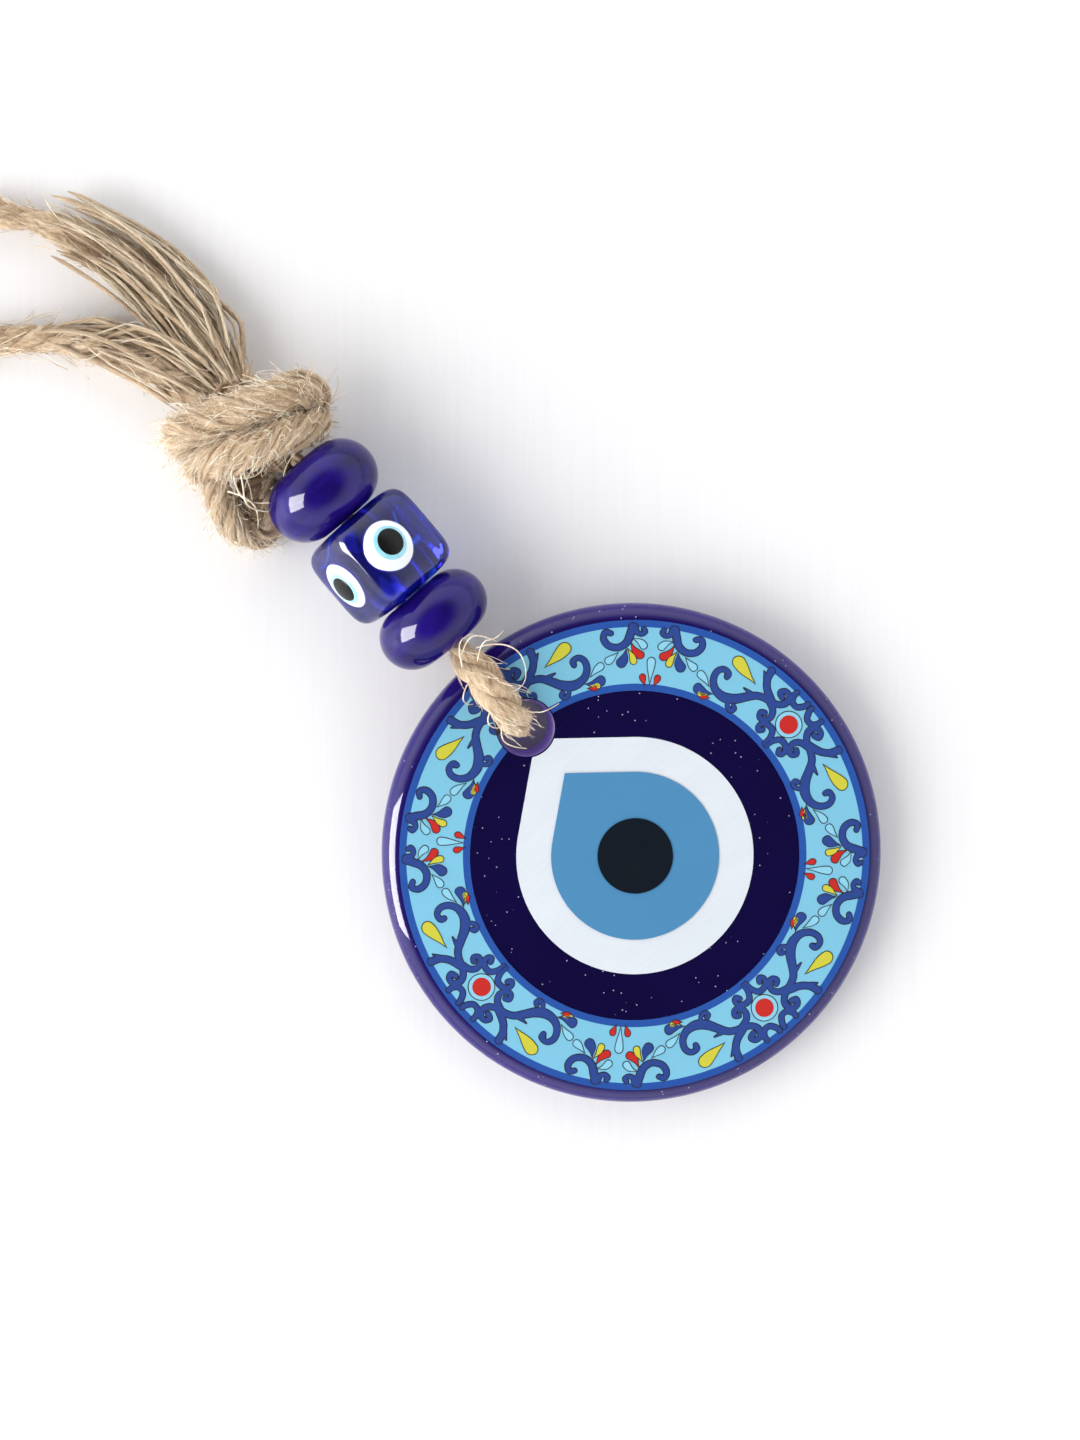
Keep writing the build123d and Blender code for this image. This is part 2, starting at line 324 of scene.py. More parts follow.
def table_finish():
    """White table with a faint grain."""
    finish = Finish("pale table", Roughness=0.55, Specular_IOR_Level=0.3)
    along = finish.vector("DOT_PRODUCT", finish.place(), tuple(camera_right), "Value")
    up = finish.vector("DOT_PRODUCT", finish.place(), tuple(camera_up), "Value")
    where = finish.node("ShaderNodeCombineXYZ", None, {"X": along * 1.0, "Y": up * 0.03, "Z": 0.0})
    grain = finish.noise(where, 900.0, 4.0, 0.6)
    finish.set(Base_Color=finish.blend(grain, (0.80, 0.785, 0.79), (0.86, 0.85, 0.855)))
    return finish.material


# ---------------------------------------------------------------------------
# Meshes
# ---------------------------------------------------------------------------
def add_object(name, data):
    made = bpy.data.objects.new(name, data)
    bpy.context.collection.objects.link(made)
    return made


def new_piece(name, points, faces, material, smooth=True, uvs=None):
    mesh = bpy.data.meshes.new(name)
    mesh.from_pydata([tuple(p) for p in points], [], faces)
    mesh.materials.append(material)
    mesh.polygons.foreach_set("use_smooth", [smooth] * len(faces))
    if uvs is not None:
        layer = mesh.uv_layers.new(name="UVMap")
        corners = np.zeros(len(mesh.loops), dtype=np.int32)
        mesh.loops.foreach_get("vertex_index", corners)
        layer.data.foreach_set("uv", np.asarray(uvs, dtype=np.float32)[corners].ravel())
    mesh.update()
    return add_object(name, mesh)


def face_outwards(piece):
    work = bmesh.new()
    work.from_mesh(piece.data)
    bmesh.ops.recalc_face_normals(work, faces=work.faces)
    work.to_mesh(piece.data)
    work.free()


def evaluated_mesh(piece):
    """The piece's mesh with its modifiers applied, as a new mesh, and the modifiers gone."""
    graph = bpy.context.evaluated_depsgraph_get()
    mesh = bpy.data.meshes.new_from_object(piece.evaluated_get(graph), depsgraph=graph)
    piece.modifiers.clear()
    return mesh


def along_values(values, count):
    """A list of values spread evenly along a line of this many points."""
    return np.interp(np.linspace(0, 1, count), np.linspace(0, 1, len(values)), values)


def distance_along(line):
    """How far along the line each of its points is."""
    return np.concatenate([[0], np.cumsum(np.linalg.norm(np.diff(line, axis=0), axis=1))])


def even_points(line, step, least):
    """Points at even distances along the line, about one step apart."""
    reach = distance_along(line)
    even = np.linspace(0, reach[-1], max(least, int(reach[-1] / step)))
    return np.stack([np.interp(even, reach, values) for values in line.T], axis=1)


def arc(centre, radius, start, end, count):
    """Points on an arc, in degrees."""
    turns = np.radians(np.linspace(start, end, count))
    return [(centre[0] + radius * math.cos(a), centre[1] + radius * math.sin(a)) for a in turns]


def ring_faces(rings, around, first=0, closed=False):
    """Quads between neighbouring rings of points, each ring holding the same number."""
    faces = []
    for ring in range(rings if closed else rings - 1):
        here, there = first + ring * around, first + (ring + 1) % rings * around
        for k in range(around):
            nxt = (k + 1) % around
            faces.append((here + k, here + nxt, there + nxt, there + k))
    return faces


def turned(name, profile, origin, axis, material, around=128):
    """A closed profile of (radius, height) in millimetres, turned about an axis."""
    axis = Vector(axis).normalized()
    side = axis.orthogonal().normalized()
    third = axis.cross(side)
    points = []
    for radius, height in profile:
        for turn in np.linspace(0, math.tau, around, endpoint=False):
            out = side * math.cos(turn) + third * math.sin(turn)
            points.append(origin + (out * radius + axis * height) * MM)
    piece = new_piece(name, points, ring_faces(len(profile), around, closed=True), material)
    face_outwards(piece)
    return piece


# ---------------------------------------------------------------------------
# Disc
# ---------------------------------------------------------------------------
def glass_disc(material, around=256, hole_around=96, steps=10):
    half = DISC_T / 2
    rim = arc((DISC_R - DISC_EDGE, half - DISC_EDGE), DISC_EDGE, 90, 0, steps)
    rim += arc((DISC_R - DISC_EDGE, DISC_EDGE - half), DISC_EDGE, 0, -90, steps)
    wall = arc((HOLE_R + HOLE_EDGE, half - HOLE_EDGE), HOLE_EDGE, 90, 180, steps)
    wall += arc((HOLE_R + HOLE_EDGE, HOLE_EDGE - half), HOLE_EDGE, 180, 270, steps)
    points, faces, tops, bottoms = [], [], [], []
    for profile, count, mid_y in ((rim, around, 0.0), (wall, hole_around, HOLE_Y)):
        first = len(points)
        for radius, height in profile:
            for turn in np.linspace(0, math.tau, count, endpoint=False):
                points.append(on_disc(radius * math.cos(turn), mid_y + radius * math.sin(turn), height))
        faces += ring_faces(len(profile), count, first)
        tops.append((first, count))
        bottoms.append((len(points) - count, count))
    piece = new_piece("cobalt_disc", points, faces, material)
    work = bmesh.new()
    work.from_mesh(piece.data)
    work.verts.ensure_lookup_table()
    for loops in (tops, bottoms):
        edges = []
        for first, count in loops:
            for k in range(count):
                pair = (work.verts[first + k], work.verts[first + (k + 1) % count])
                edges.append(work.edges.get(pair))
        made = bmesh.ops.triangle_fill(work, use_beauty=True, edges=edges)
        for face in made["geom"]:
            if isinstance(face, bmesh.types.BMFace):
                face.smooth = False
    bmesh.ops.recalc_face_normals(work, faces=work.faces)
    work.to_mesh(piece.data)
    work.free()
    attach(piece, "disc")
    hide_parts("glass_disc")


# ---------------------------------------------------------------------------
# Printed ring. A shape of the pattern is an outline in (along, radius) millimetres: along runs round the
# ring from the middle of a medallion, measured on the circle RING_MID.
# ---------------------------------------------------------------------------
def smooth_line(controls, step=0.22):
    """Even points on a smooth line through the control points."""
    p = np.array([controls[0], *controls, controls[-1]], dtype=float)
    line = []
    for a, b, c, d in zip(p, p[1:], p[2:], p[3:]):
        for t in np.linspace(0, 1, 12, endpoint=False):
            line.append(0.5 * (2 * b + (c - a) * t + (2 * a - 5 * b + 4 * c - d) * t * t
                               + (3 * b - a - 3 * c + d) * t ** 3))
    return even_points(np.array([*line, p[-1]]), step, 3)


def stroke(controls, widths, grow=0.0):
    """The outline of a brush stroke with the given widths at even places along it."""
    line = smooth_line(controls)
    ways = np.gradient(line, axis=0)
    ways /= np.maximum(np.linalg.norm(ways, axis=1, keepdims=True), 1e-9)
    side = np.stack([-ways[:, 1], ways[:, 0]], axis=1)
    half = along_values(widths, len(line)) / 2 + grow
    left, right = line + side * half[:, None], line - side * half[:, None]
    caps = []
    for end, way, other, r in ((line[-1], ways[-1], side[-1], half[-1]),
                               (line[0], -ways[0], -side[0], half[0])):
        turns = np.linspace(math.pi / 2, -math.pi / 2, 7)[1:-1]
        caps.append([end + r * (other * math.sin(a) + way * math.cos(a)) for a in turns])
    return [*left, *caps[0], *right[::-1], *caps[1]]


def petal(tip, head, width, grow=0.0, bend=0.0):
    """A drop: pointed at its tip, round at its head."""
    tip, head = np.array(tip, float), np.array(head, float)
    way = head - tip
    length = np.linalg.norm(way)
    way /= length
    side = np.array((-way[1], way[0]))
    radius = width / 2
    outline = []
    for t in np.linspace(0, 1, 15):
        reach = math.sin(t * math.pi / 2) ** 1.5
        outline.append((t, radius * reach))
    body = length - radius
    right = [tip + way * (t * body) - side * (w + grow) + side * bend * math.sin(t * math.pi)
             for t, w in outline]
    cap = [tip + way * body + (radius + grow) * (way * math.cos(a) + side * math.sin(a))
           for a in np.linspace(-math.pi / 2, math.pi / 2, 11)[1:-1]]
    left = [tip + way * (t * body) + side * (w + grow) + side * bend * math.sin(t * math.pi)
            for t, w in outline[::-1]]
    if grow:
        return [*right[1:], *cap, *left[:-1], tip - way * LINE_TIP * grow]
    return [*right, *cap, *left[:-1]]


LINE_W = 0.19  # how far the dark line shows round a shape
LINE_TIP = 2.2  # and how many times further at a petal's tip
DOT_R = 2.55  # the dot in the middle of a medallion
# Scrolls of one half of a quarter, from a medallion's middle to the next fan's: (controls, widths)
scrolls = [
    # curls that frame the medallion
    ([(0.35, 34.0), (0.45, 35.4), (1.3, 36.8), (2.7, 37.0), (3.9, 36.4), (4.2, 35.4), (3.5, 34.9),
      (2.9, 35.5)],
     [1.0, 1.05, 1.05, 1.0, 0.85, 1.0]),
    ([(5.8, 40.3), (4.3, 39.7), (3.6, 38.4), (4.2, 37.1), (5.4, 36.9), (5.9, 37.8), (5.1, 38.2)],
     [0.9, 1.1, 1.1, 1.0, 0.85, 1.0]),
    ([(5.9, 40.6), (4.2, 41.3), (3.4, 42.5), (3.7, 43.9), (4.9, 44.2), (5.5, 43.3), (4.7, 42.8)],
     [0.9, 1.1, 1.1, 1.0, 0.85, 1.0]),
    ([(0.5, 45.6), (0.7, 44.6), (1.5, 43.5), (2.7, 43.6), (3.3, 44.6), (3.3, 45.6)],
     [0.8, 0.9, 0.95, 0.95, 0.9, 0.8]),
    # vine to the outer border
    ([(4.9, 40.5), (6.4, 41.2), (7.9, 42.2), (8.9, 43.7), (9.2, 45.6)], [1.3, 1.35, 1.2, 1.1, 1.2]),
    ([(8.2, 42.7), (9.2, 43.6), (10.2, 44.6)], [1.0, 0.7, 0.06]),
    # vine that ends in the large scroll
    ([(4.9, 40.6), (6.6, 40.5), (8.5, 39.9), (10.2, 38.4), (12.0, 36.8), (14.3, 36.0), (16.6, 36.5),
      (17.9, 38.0), (18.0, 39.8), (17.0, 40.9), (15.7, 40.6), (15.7, 39.8)],
     [1.2, 1.15, 1.25, 1.5, 1.75, 1.75, 1.45, 1.25, 1.1, 0.95, 0.95]),
    ([(9.0, 39.4), (10.4, 39.5), (11.6, 39.6)], [1.0, 0.6, 0.06]),
    ([(12.4, 36.9), (12.9, 35.7), (12.5, 34.7), (11.4, 34.4), (10.8, 35.0), (11.4, 35.4)],
     [0.8, 0.75, 0.75, 0.8, 0.9]),
    # stem of the fan, from the outer border
    ([(27.7, 45.6), (27.3, 44.2), (26.5, 42.4), (24.9, 41.5), (23.1, 42.0), (22.3, 43.5), (22.8, 44.8),
      (23.7, 44.4)],
     [1.2, 1.3, 1.25, 1.2, 1.15, 1.1, 0.9, 0.9]),
    ([(28.1, 45.6), (28.4, 44.4), (29.2, 44.0), (29.9, 44.5), (29.6, 45.1)], [0.85, 0.85, 0.8, 0.75, 0.7]),
]
blue_petals = [
    ((26.3, 40.9), (24.9, 37.6), 1.9, 0.25),
    ((17.0, 35.5), (21.3, 35.4), 1.9, -0.3),
]
red_petals = [
    ((27.4, 42.2), (29.5, 39.3), 1.5, -0.35),
    ((17.2, 34.5), (19.2, 34.2), 0.9, 0.0),
]
yellow_petals = [
    ((26.7, 41.0), (28.0, 38.1), 1.25, 0.15),
    ((17.6, 35.0), (20.0, 34.5), 1.0, 0.0),
    ((10.4, 41.6), (16.0, 43.9), 2.3, -0.2),
]
pale_petals = [
    ((27.8, 43.0), (30.2, 41.4), 1.3, 0.25),
    ((24.6, 40.4), (22.1, 38.7), 1.35, 0.1),
    ((18.4, 36.7), (21.4, 38.6), 1.35, 0.1),
]
red_buds = [((30.3, 34.0), (29.5, 36.0), 1.2, 0.0)]
quarter = math.pi / 4 * RING_MID  # along to the middle of the fan


def half_dot(radius, count=26):
    """The half, on this side of the medallion's middle, of a dot."""
    turns = np.linspace(-math.pi / 2, math.pi / 2, count)
    return [(radius * math.cos(a), RING_MID + radius * math.sin(a)) for a in turns]


def half_petal(grow=0.0):
    """The half, on this side of the fan's middle, of the petal that stands there."""
    foot, head = 34.4, 39.4
    side = [p for p in petal((quarter, foot), (quarter, head), 1.5, grow) if p[0] < quarter - 0.01]
    return [(quarter, foot - LINE_TIP * grow), *side[::-1], (quarter, head + grow)]


# Heights over the disc's middle plane, in millimetres: a dark line under each shape, the colour on the line
GROUND_Z = DISC_T / 2 + PRINT_T
LINE_Z = GROUND_Z + 0.01
COLOUR_Z = GROUND_Z + 0.07
SLAB_STEP, SLAB_SUNK = 0.0015, 0.01


def pattern_piece(name, outlines, top, material):
    """Slabs with these outlines, repeated by the round_the_ring tree, as one mesh on the disc.

    Each slab is a hair higher than the last, so that no two overlap in one plane.
    """
    points, faces = [], []
    for place, outline in enumerate(outlines):
        first, count = len(points), len(outline)
        for height in (top + SLAB_STEP * place, GROUND_Z - SLAB_SUNK):
            for along, radius in outline:
                turn = along / RING_MID
                points.append((radius * math.cos(turn), radius * math.sin(turn), height))
        faces.append(tuple(range(first, first + count)))
        faces.append(tuple(range(first + 2 * count - 1, first + count - 1, -1)))
        for k in range(count):
            nxt = (k + 1) % count
            faces.append((first + k, first + count + k, first + count + nxt, first + nxt))
    piece = new_piece(name, points, faces, material, smooth=False)
    face_outwards(piece)
    run_tree(piece, round_the_ring(), {
        "Quarters": 4, "Hole place": (0, HOLE_Y, 0), "Hole radius": HOLE_R + HOLE_EDGE, "Finish": material})
    piece.data = evaluated_mesh(piece)
    piece.data.transform(Matrix.Scale(MM, 4) @ face_matrix)
    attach(piece, "disc")
    return piece


# ---------------------------------------------------------------------------
# Geometry Nodes
# ---------------------------------------------------------------------------
class Tree:
    """A geometry tree under construction, with named inputs."""

    def __init__(self, name, inputs):
        self.group = bpy.data.node_groups.new(name, "GeometryNodeTree")
        face = self.group.interface
        face.new_socket("Geometry", in_out="INPUT", socket_type="NodeSocketGeometry")
        for label, kind in inputs.items():
            face.new_socket(label, in_out="INPUT", socket_type="NodeSocket" + kind)
        face.new_socket("Geometry", in_out="OUTPUT", socket_type="NodeSocketGeometry")
        self.entry = self.group.nodes.new("NodeGroupInput")
        self.exit = self.group.nodes.new("NodeGroupOutput")

    def given(self, label):
        return self.entry.outputs[label]

    def node(self, kind, settings=None, values=None, out=0):
        made = self.group.nodes.new(kind)
        for key, value in (settings or {}).items():
            setattr(made, key, value)
        for key, value in (values or {}).items():
            if isinstance(value, list):
                for source in value:
                    self.group.links.new(source, made.inputs[key])
            elif isinstance(value, bpy.types.NodeSocket):
                self.group.links.new(value, made.inputs[key])
            else:
                made.inputs[key].default_value = value
        return made.outputs[out]

    def maths(self, operation, first, second):
        return self.node("ShaderNodeMath", {"operation": operation}, {0: first, 1: second})

    def vector(self, operation, first, second):
        return self.node("ShaderNodeVectorMath", {"operation": operation}, {0: first, 1: second})

    def finish(self, geometry):
        whole = self.node("GeometryNodeRealizeInstances", None, {"Geometry": geometry})
        painted = self.node("GeometryNodeSetMaterial", None, {
            "Geometry": whole, "Material": self.given("Finish")})
        self.group.links.new(painted, self.exit.inputs[0])
        return self.group


def run_tree(piece, group, values):
    """Adds the tree as a modifier and sets its inputs by their identifiers."""
    modifier = piece.modifiers.new(group.name, "NODES")
    modifier.node_group = group
    for item in group.interface.items_tree:
        if item.item_type == "SOCKET" and item.in_out == "INPUT" and item.name in values:
            modifier[item.identifier] = values[item.name]


trees = {}


def round_the_ring():
    """Mirrors a half quarter of the ring's pattern, repeats it round the ring and cuts the hole out of it."""
    if "round_the_ring" in trees:
        return trees["round_the_ring"]
    tree = Tree("round the ring", {
        "Quarters": "Int", "Hole place": "Vector", "Hole radius": "Float", "Finish": "Material"})
    half = tree.given("Geometry")
    mirrored = tree.node("GeometryNodeTransform", None, {"Geometry": half, "Scale": (1, -1, 1)})
    flipped = tree.node("GeometryNodeFlipFaces", None, {"Mesh": mirrored})
    both = tree.node("GeometryNodeJoinGeometry", None, {"Geometry": [flipped, half]})
    places = tree.node("GeometryNodePoints", None, {"Count": tree.given("Quarters")})
    index = tree.node("GeometryNodeInputIndex")
    part = tree.maths("DIVIDE", math.tau, tree.given("Quarters"))
    turn = tree.maths("MULTIPLY", index, part)
    turns = tree.node("ShaderNodeCombineXYZ", None, {"Z": turn})
    copies = tree.node("GeometryNodeInstanceOnPoints", None, {
        "Points": places, "Instance": both, "Rotation": turns})
    whole = tree.node("GeometryNodeRealizeInstances", None, {"Geometry": copies})
    place = tree.node("GeometryNodeInputPosition")
    flat = tree.vector("MULTIPLY", place, (1, 1, 0))
    offset = tree.vector("SUBTRACT", flat, tree.given("Hole place"))
    distance = tree.node("ShaderNodeVectorMath", {"operation": "LENGTH"}, {0: offset}, "Value")
    inside = tree.maths("LESS_THAN", distance, tree.given("Hole radius"))
    island = tree.node("GeometryNodeInputMeshIsland")
    touches = tree.node("GeometryNodeAccumulateField", {"data_type": "FLOAT", "domain": "POINT"}, {
        "Value": inside, "Group ID": island}, "Total")
    parts = tree.group.nodes.new("GeometryNodeSeparateGeometry")
    tree.group.links.new(whole, parts.inputs["Geometry"])
    tree.group.links.new(touches, parts.inputs["Selection"])
    drill = tree.node("GeometryNodeMeshCylinder", None, {
        "Vertices": 96, "Radius": tree.given("Hole radius"), "Depth": 6.0})
    deep = tree.vector("ADD", tree.given("Hole place"), (0, 0, GROUND_Z))
    placed = tree.node("GeometryNodeTransform", None, {"Geometry": drill, "Translation": deep})
    cut = tree.node("GeometryNodeMeshBoolean", {"operation": "DIFFERENCE", "solver": "EXACT"}, {
        "Mesh 1": parts.outputs["Selection"], "Mesh 2": placed, "Self Intersection": True})
    # with nothing to cut, the cut would give back the drill
    size = tree.node("GeometryNodeAttributeDomainSize", None, {"Geometry": parts.outputs["Selection"]})
    any_cut = tree.node("FunctionNodeCompare", {"data_type": "INT", "operation": "GREATER_THAN"}, {
        2: size, 3: 0})
    kept = tree.node("GeometryNodeSwitch", {"input_type": "GEOMETRY"}, {"Switch": any_cut, "True": cut})
    cleared = tree.node("GeometryNodeJoinGeometry", None, {"Geometry": [kept, parts.outputs["Inverted"]]})
    trees["round_the_ring"] = tree.finish(cleared)
    return trees["round_the_ring"]


def loose_fibres():
    """Scatters short bent fibres over a yarn's surface, lying along it and lifting a little."""
    if "loose_fibres" in trees:
        return trees["loose_fibres"]
    tree = Tree("loose fibres", {
        "Density": "Float", "Length": "Float", "Thickness": "Float", "Lift": "Float", "Seed": "Int",
        "Finish": "Material"})
    scatter = tree.group.nodes.new("GeometryNodeDistributePointsOnFaces")
    for label, socket in (("Geometry", "Mesh"), ("Density", "Density"), ("Seed", "Seed")):
        tree.group.links.new(tree.given(label), scatter.inputs[socket])
    along = tree.node("GeometryNodeInputNamedAttribute", {"data_type": "FLOAT_VECTOR"}, {"Name": "along"})
    out_of = scatter.outputs["Normal"]
    lying = tree.node("FunctionNodeAlignRotationToVector", {"axis": "X"}, {"Vector": along})
    upright = tree.node("FunctionNodeAlignRotationToVector", {"axis": "Z", "pivot_axis": "X"}, {
        "Rotation": lying, "Vector": out_of})
    lift = tree.given("Lift")
    negative = tree.maths("MULTIPLY", lift, -1.0)
    low = tree.node("ShaderNodeCombineXYZ", None, {"X": -3.0, "Y": negative, "Z": negative})
    high = tree.node("ShaderNodeCombineXYZ", None, {"X": 3.0, "Y": 0.05, "Z": lift})
    angles = tree.node("FunctionNodeRandomValue", {"data_type": "FLOAT_VECTOR"}, {
        "Min": low, "Max": high, "Seed": 3})
    tilt = tree.node("FunctionNodeEulerToRotation", None, {0: angles})
    turned_way = tree.node("FunctionNodeRotateRotation", {"rotation_space": "LOCAL"}, {
        "Rotation": upright, "Rotate By": tilt})
    ring = tree.node("GeometryNodeCurvePrimitiveCircle", {"mode": "RADIUS"}, {
        "Resolution": 3, "Radius": tree.given("Thickness")})
    shapes = []
    for mid, end in (((0.5, 0.06, 0.10), (1.0, 0.0, 0.05)), ((0.45, -0.16, 0.22), (0.92, 0.14, 0.10)),
                     ((0.55, 0.22, 0.06), (0.80, -0.10, 0.22))):
        size = tree.given("Length")
        ends = [tree.node("ShaderNodeVectorMath", {"operation": "SCALE"}, {0: p, "Scale": size})
                for p in ((-0.05, 0, -0.03), mid, end)]
        curve = tree.node("GeometryNodeCurveQuadraticBezier", None, {
            "Resolution": 6, "Start": ends[0], "Middle": ends[1], "End": ends[2]})
        solid = tree.node("GeometryNodeCurveToMesh", None, {
            "Curve": curve, "Profile Curve": ring, "Fill Caps": True})
        shapes.append(tree.node("GeometryNodeGeometryToInstance", None, {"Geometry": solid}))
    choices = tree.node("GeometryNodeJoinGeometry", None, {"Geometry": shapes})
    size = tree.node("FunctionNodeRandomValue", {"data_type": "FLOAT"}, {
        "Min": 0.45, "Max": 1.25, "Seed": 5}, 1)
    pick = tree.node("FunctionNodeRandomValue", {"data_type": "INT"}, {"Min": 0, "Max": 2, "Seed": 7}, 2)
    copies = tree.node("GeometryNodeInstanceOnPoints", None, {
        "Points": scatter.outputs["Points"], "Instance": choices, "Pick Instance": True,
        "Instance Index": pick, "Rotation": turned_way, "Scale": size})
    trees["loose_fibres"] = tree.finish(copies)
    return trees["loose_fibres"]


# ---------------------------------------------------------------------------
# Cord
# ---------------------------------------------------------------------------
def spline_line(controls, step):
    """Even points, in metres, along the smooth curve with these control points."""
    curve = bpy.data.curves.new("route", "CURVE")
    curve.dimensions = "3D"
    spline = curve.splines.new("NURBS")
    spline.points.add(len(controls) - 1)
    for point, control in zip(spline.points, controls):
        point.co = (*control, 1)
    spline.order_u = 3
    spline.use_endpoint_u = True
    curve.resolution_u = 24
    holder = add_object("route", curve)
    graph = bpy.context.evaluated_depsgraph_get()
    mesh = bpy.data.meshes.new_from_object(holder.evaluated_get(graph), depsgraph=graph)
    line = np.array([v.co for v in mesh.vertices])
    bpy.data.objects.remove(holder)
    bpy.data.curves.remove(curve)
    bpy.data.meshes.remove(mesh)
    return even_points(line, step, 4)


def carried_frame(line, first_side):
    """Directions along the line: ahead, to the side and up, carried along without twist."""
    ahead = np.gradient(line, axis=0)
    ahead /= np.linalg.norm(ahead, axis=1, keepdims=True)
    side = np.array(first_side, float)
    sides = []
    for way in ahead:
        side = side - way * np.dot(side, way)
        side /= np.linalg.norm(side)
        sides.append(side.copy())
    sides = np.array(sides)
    return ahead, sides, np.cross(ahead, sides)


SLOW_RIDGE = 0.6 * math.sin(1)  # the slow waves along a yarn, as a share of its ridges


def yarn_tube(line, radii, seed, twist, sides=18, ridge=0.10):
    """A closed tube with fibrous ridges: points, faces, uvs and the direction of its fibres."""
    source = np.random.default_rng(seed)
    ahead, side, up = carried_frame(line, (0.31, 0.17, 0.93))
    count = len(line)
    reach = distance_along(line)
    turns = np.linspace(0, math.tau, sides, endpoint=False)
    waves = [(k, source.uniform(-260, 260), source.uniform(0, math.tau), source.uniform(0.4, 1.0))
             for k in (2, 3, 4, 5, 6, 7)]
    slow = sum(np.sin(reach * f + p) for f, p in
               zip(source.uniform(150, 700, 3), source.uniform(0, math.tau, 3))) / 3
    points, uvs = [], []
    for i in range(count):
        angle = turns + twist * reach[i]
        wave = sum(w * np.cos(k * turns + f * reach[i] + p) for k, f, p, w in waves) / len(waves)
        radius = radii[i] * (1 + ridge * 1.6 * wave + SLOW_RIDGE * ridge * slow[i])
        out = np.cos(angle)[:, None] * side[i] + np.sin(angle)[:, None] * up[i]
        points.extend(line[i] + radius[:, None] * out)
        uvs.extend(zip(turns / math.tau + source.uniform(-0.002, 0.002), [reach[i] / (3 * MM)] * sides))
    faces = ring_faces(count, sides)
    for end in (0, count - 1):
        points.append(line[end])
        uvs.append((0.5, reach[end] / (3 * MM)))
        hub, first = len(points) - 1, end * sides
        for k in range(sides):
            pair = (first + k, first + (k + 1) % sides)
            faces.append((hub, *(pair[::-1] if end == 0 else pair)))
    directions = [*np.repeat(ahead, sides, axis=0), ahead[0], ahead[-1]]
    return points, faces, uvs, directions


def join_tubes(name, tubes, material):
    points, faces, uvs, directions = [], [], [], []
    for tube_points, tube_faces, tube_uvs, tube_directions in tubes:
        first = len(points)
        points += list(tube_points)
        faces += [tuple(first + k for k in face) for face in tube_faces]
        uvs += list(tube_uvs)
        directions += list(tube_directions)
    piece = new_piece(name, points, faces, material, uvs=uvs)
    store = piece.data.attributes.new("along", "FLOAT_VECTOR", "POINT")
    store.data.foreach_set("vector", np.asarray(directions, dtype=np.float32).ravel())
    face_outwards(piece)
    return piece


# A ply's place and radius, as shares of the cord's diameter
PLY_OUT, PLY_RADIUS = 0.245, 0.262


def laid_plies(line, diameter, pitch, seed, open_up=(0,), phase=0.0, spread=2.9):
    """Three plies laid round a line. The diameter and open_up (0 laid, 1 side by side) vary along it."""
    ahead, side, up = carried_frame(line, (0, 0, 1))
    count = len(line)
    size = along_values(diameter, count) * MM
    loose = along_values(open_up, count)
    step = np.linalg.norm(np.diff(line, axis=0), axis=1)
    twisted = step * (1 - 0.9 * (loose[1:] + loose[:-1]) / 2)
    lay = np.concatenate([[0], np.cumsum(twisted)]) / (pitch * MM) * math.tau
    tubes = []
    for ply in range(3):
        angle = lay + phase + ply * math.tau / 3
        laid_up = PLY_OUT * size * np.sin(angle)
        laid_side = PLY_OUT * size * np.cos(angle)
        apart_side = (ply - 1) * spread * MM
        apart_up = (0.5 - abs(ply - 1)) * 0.12 * size
        centre = (line + up * (laid_side * (1 - loose) + apart_side * loose)[:, None]
                  + side * (laid_up * (1 - loose) + apart_up * loose)[:, None])
        radii = size * PLY_RADIUS * (1 + 0.25 * loose)
        tubes.append(yarn_tube(centre, radii, seed + ply, 420.0))
    return tubes


def yarn_bundle(line, diameter, count, pitch, seed, sides=9):
    """Fine yarns wound loosely round a core: a strand whose lay has come undone."""
    source = np.random.default_rng(seed)
    ahead, side, up = carried_frame(line, (0, 0, 1))
    size = along_values(diameter, len(line)) * MM
    reach = distance_along(line)
    tubes = [yarn_tube(line, size * 0.36, seed, 120.0, 16)]
    for k in range(count):
        waver = 0.35 * np.sin(reach * source.uniform(90, 260) + source.uniform(0, 6))
        angle = k / count * math.tau + reach / (pitch * MM) * math.tau + waver
        out = size * (source.uniform(0.33, 0.41) + 0.035 * np.sin(reach * source.uniform(150, 500) + k))
        centre = line + side * (out * np.cos(angle))[:, None] + up * (out * np.sin(angle))[:, None]
        radii = size * source.uniform(0.75, 1.2) * 0.36 * math.pi / count
        tubes.append(yarn_tube(centre, radii, seed + k, source.uniform(-500, 500), sides))
    return tubes


def loose_strands(line, places, seed, thickness=(0.12, 0.3), lift=0.3, drift=1.6):
    """Thin yarns beside the line: (start and end as shares of it, aside and above in millimetres)."""
    source = np.random.default_rng(seed)
    ahead, side, up = carried_frame(line, (0, 0, 1))
    tubes = []
    for k, (start, end, aside, above) in enumerate(places):
        span = slice(int(start * (len(line) - 1)), int(end * (len(line) - 1)) + 1)
        count = len(line[span])
        share = np.linspace(0, 1, count)
        sway = drift * (np.sin(share * source.uniform(3, 7) + source.uniform(0, 6)) * 0.5)
        off = np.interp(share, (0, 0.25, 1), (aside * 0.45, aside, aside)) + sway
        high = above + lift * np.sin(share * source.uniform(4, 9) + k)
        centre = line[span] + (up[span] * -off[:, None] + side[span] * high[:, None]) * MM
        taper = np.minimum(1, np.minimum(share, 1 - share) * 12 + 0.25)
        radii = source.uniform(*thickness) * MM * taper
        tubes.append(yarn_tube(centre, radii, seed + k, source.uniform(-900, 900), 6))
    return tubes


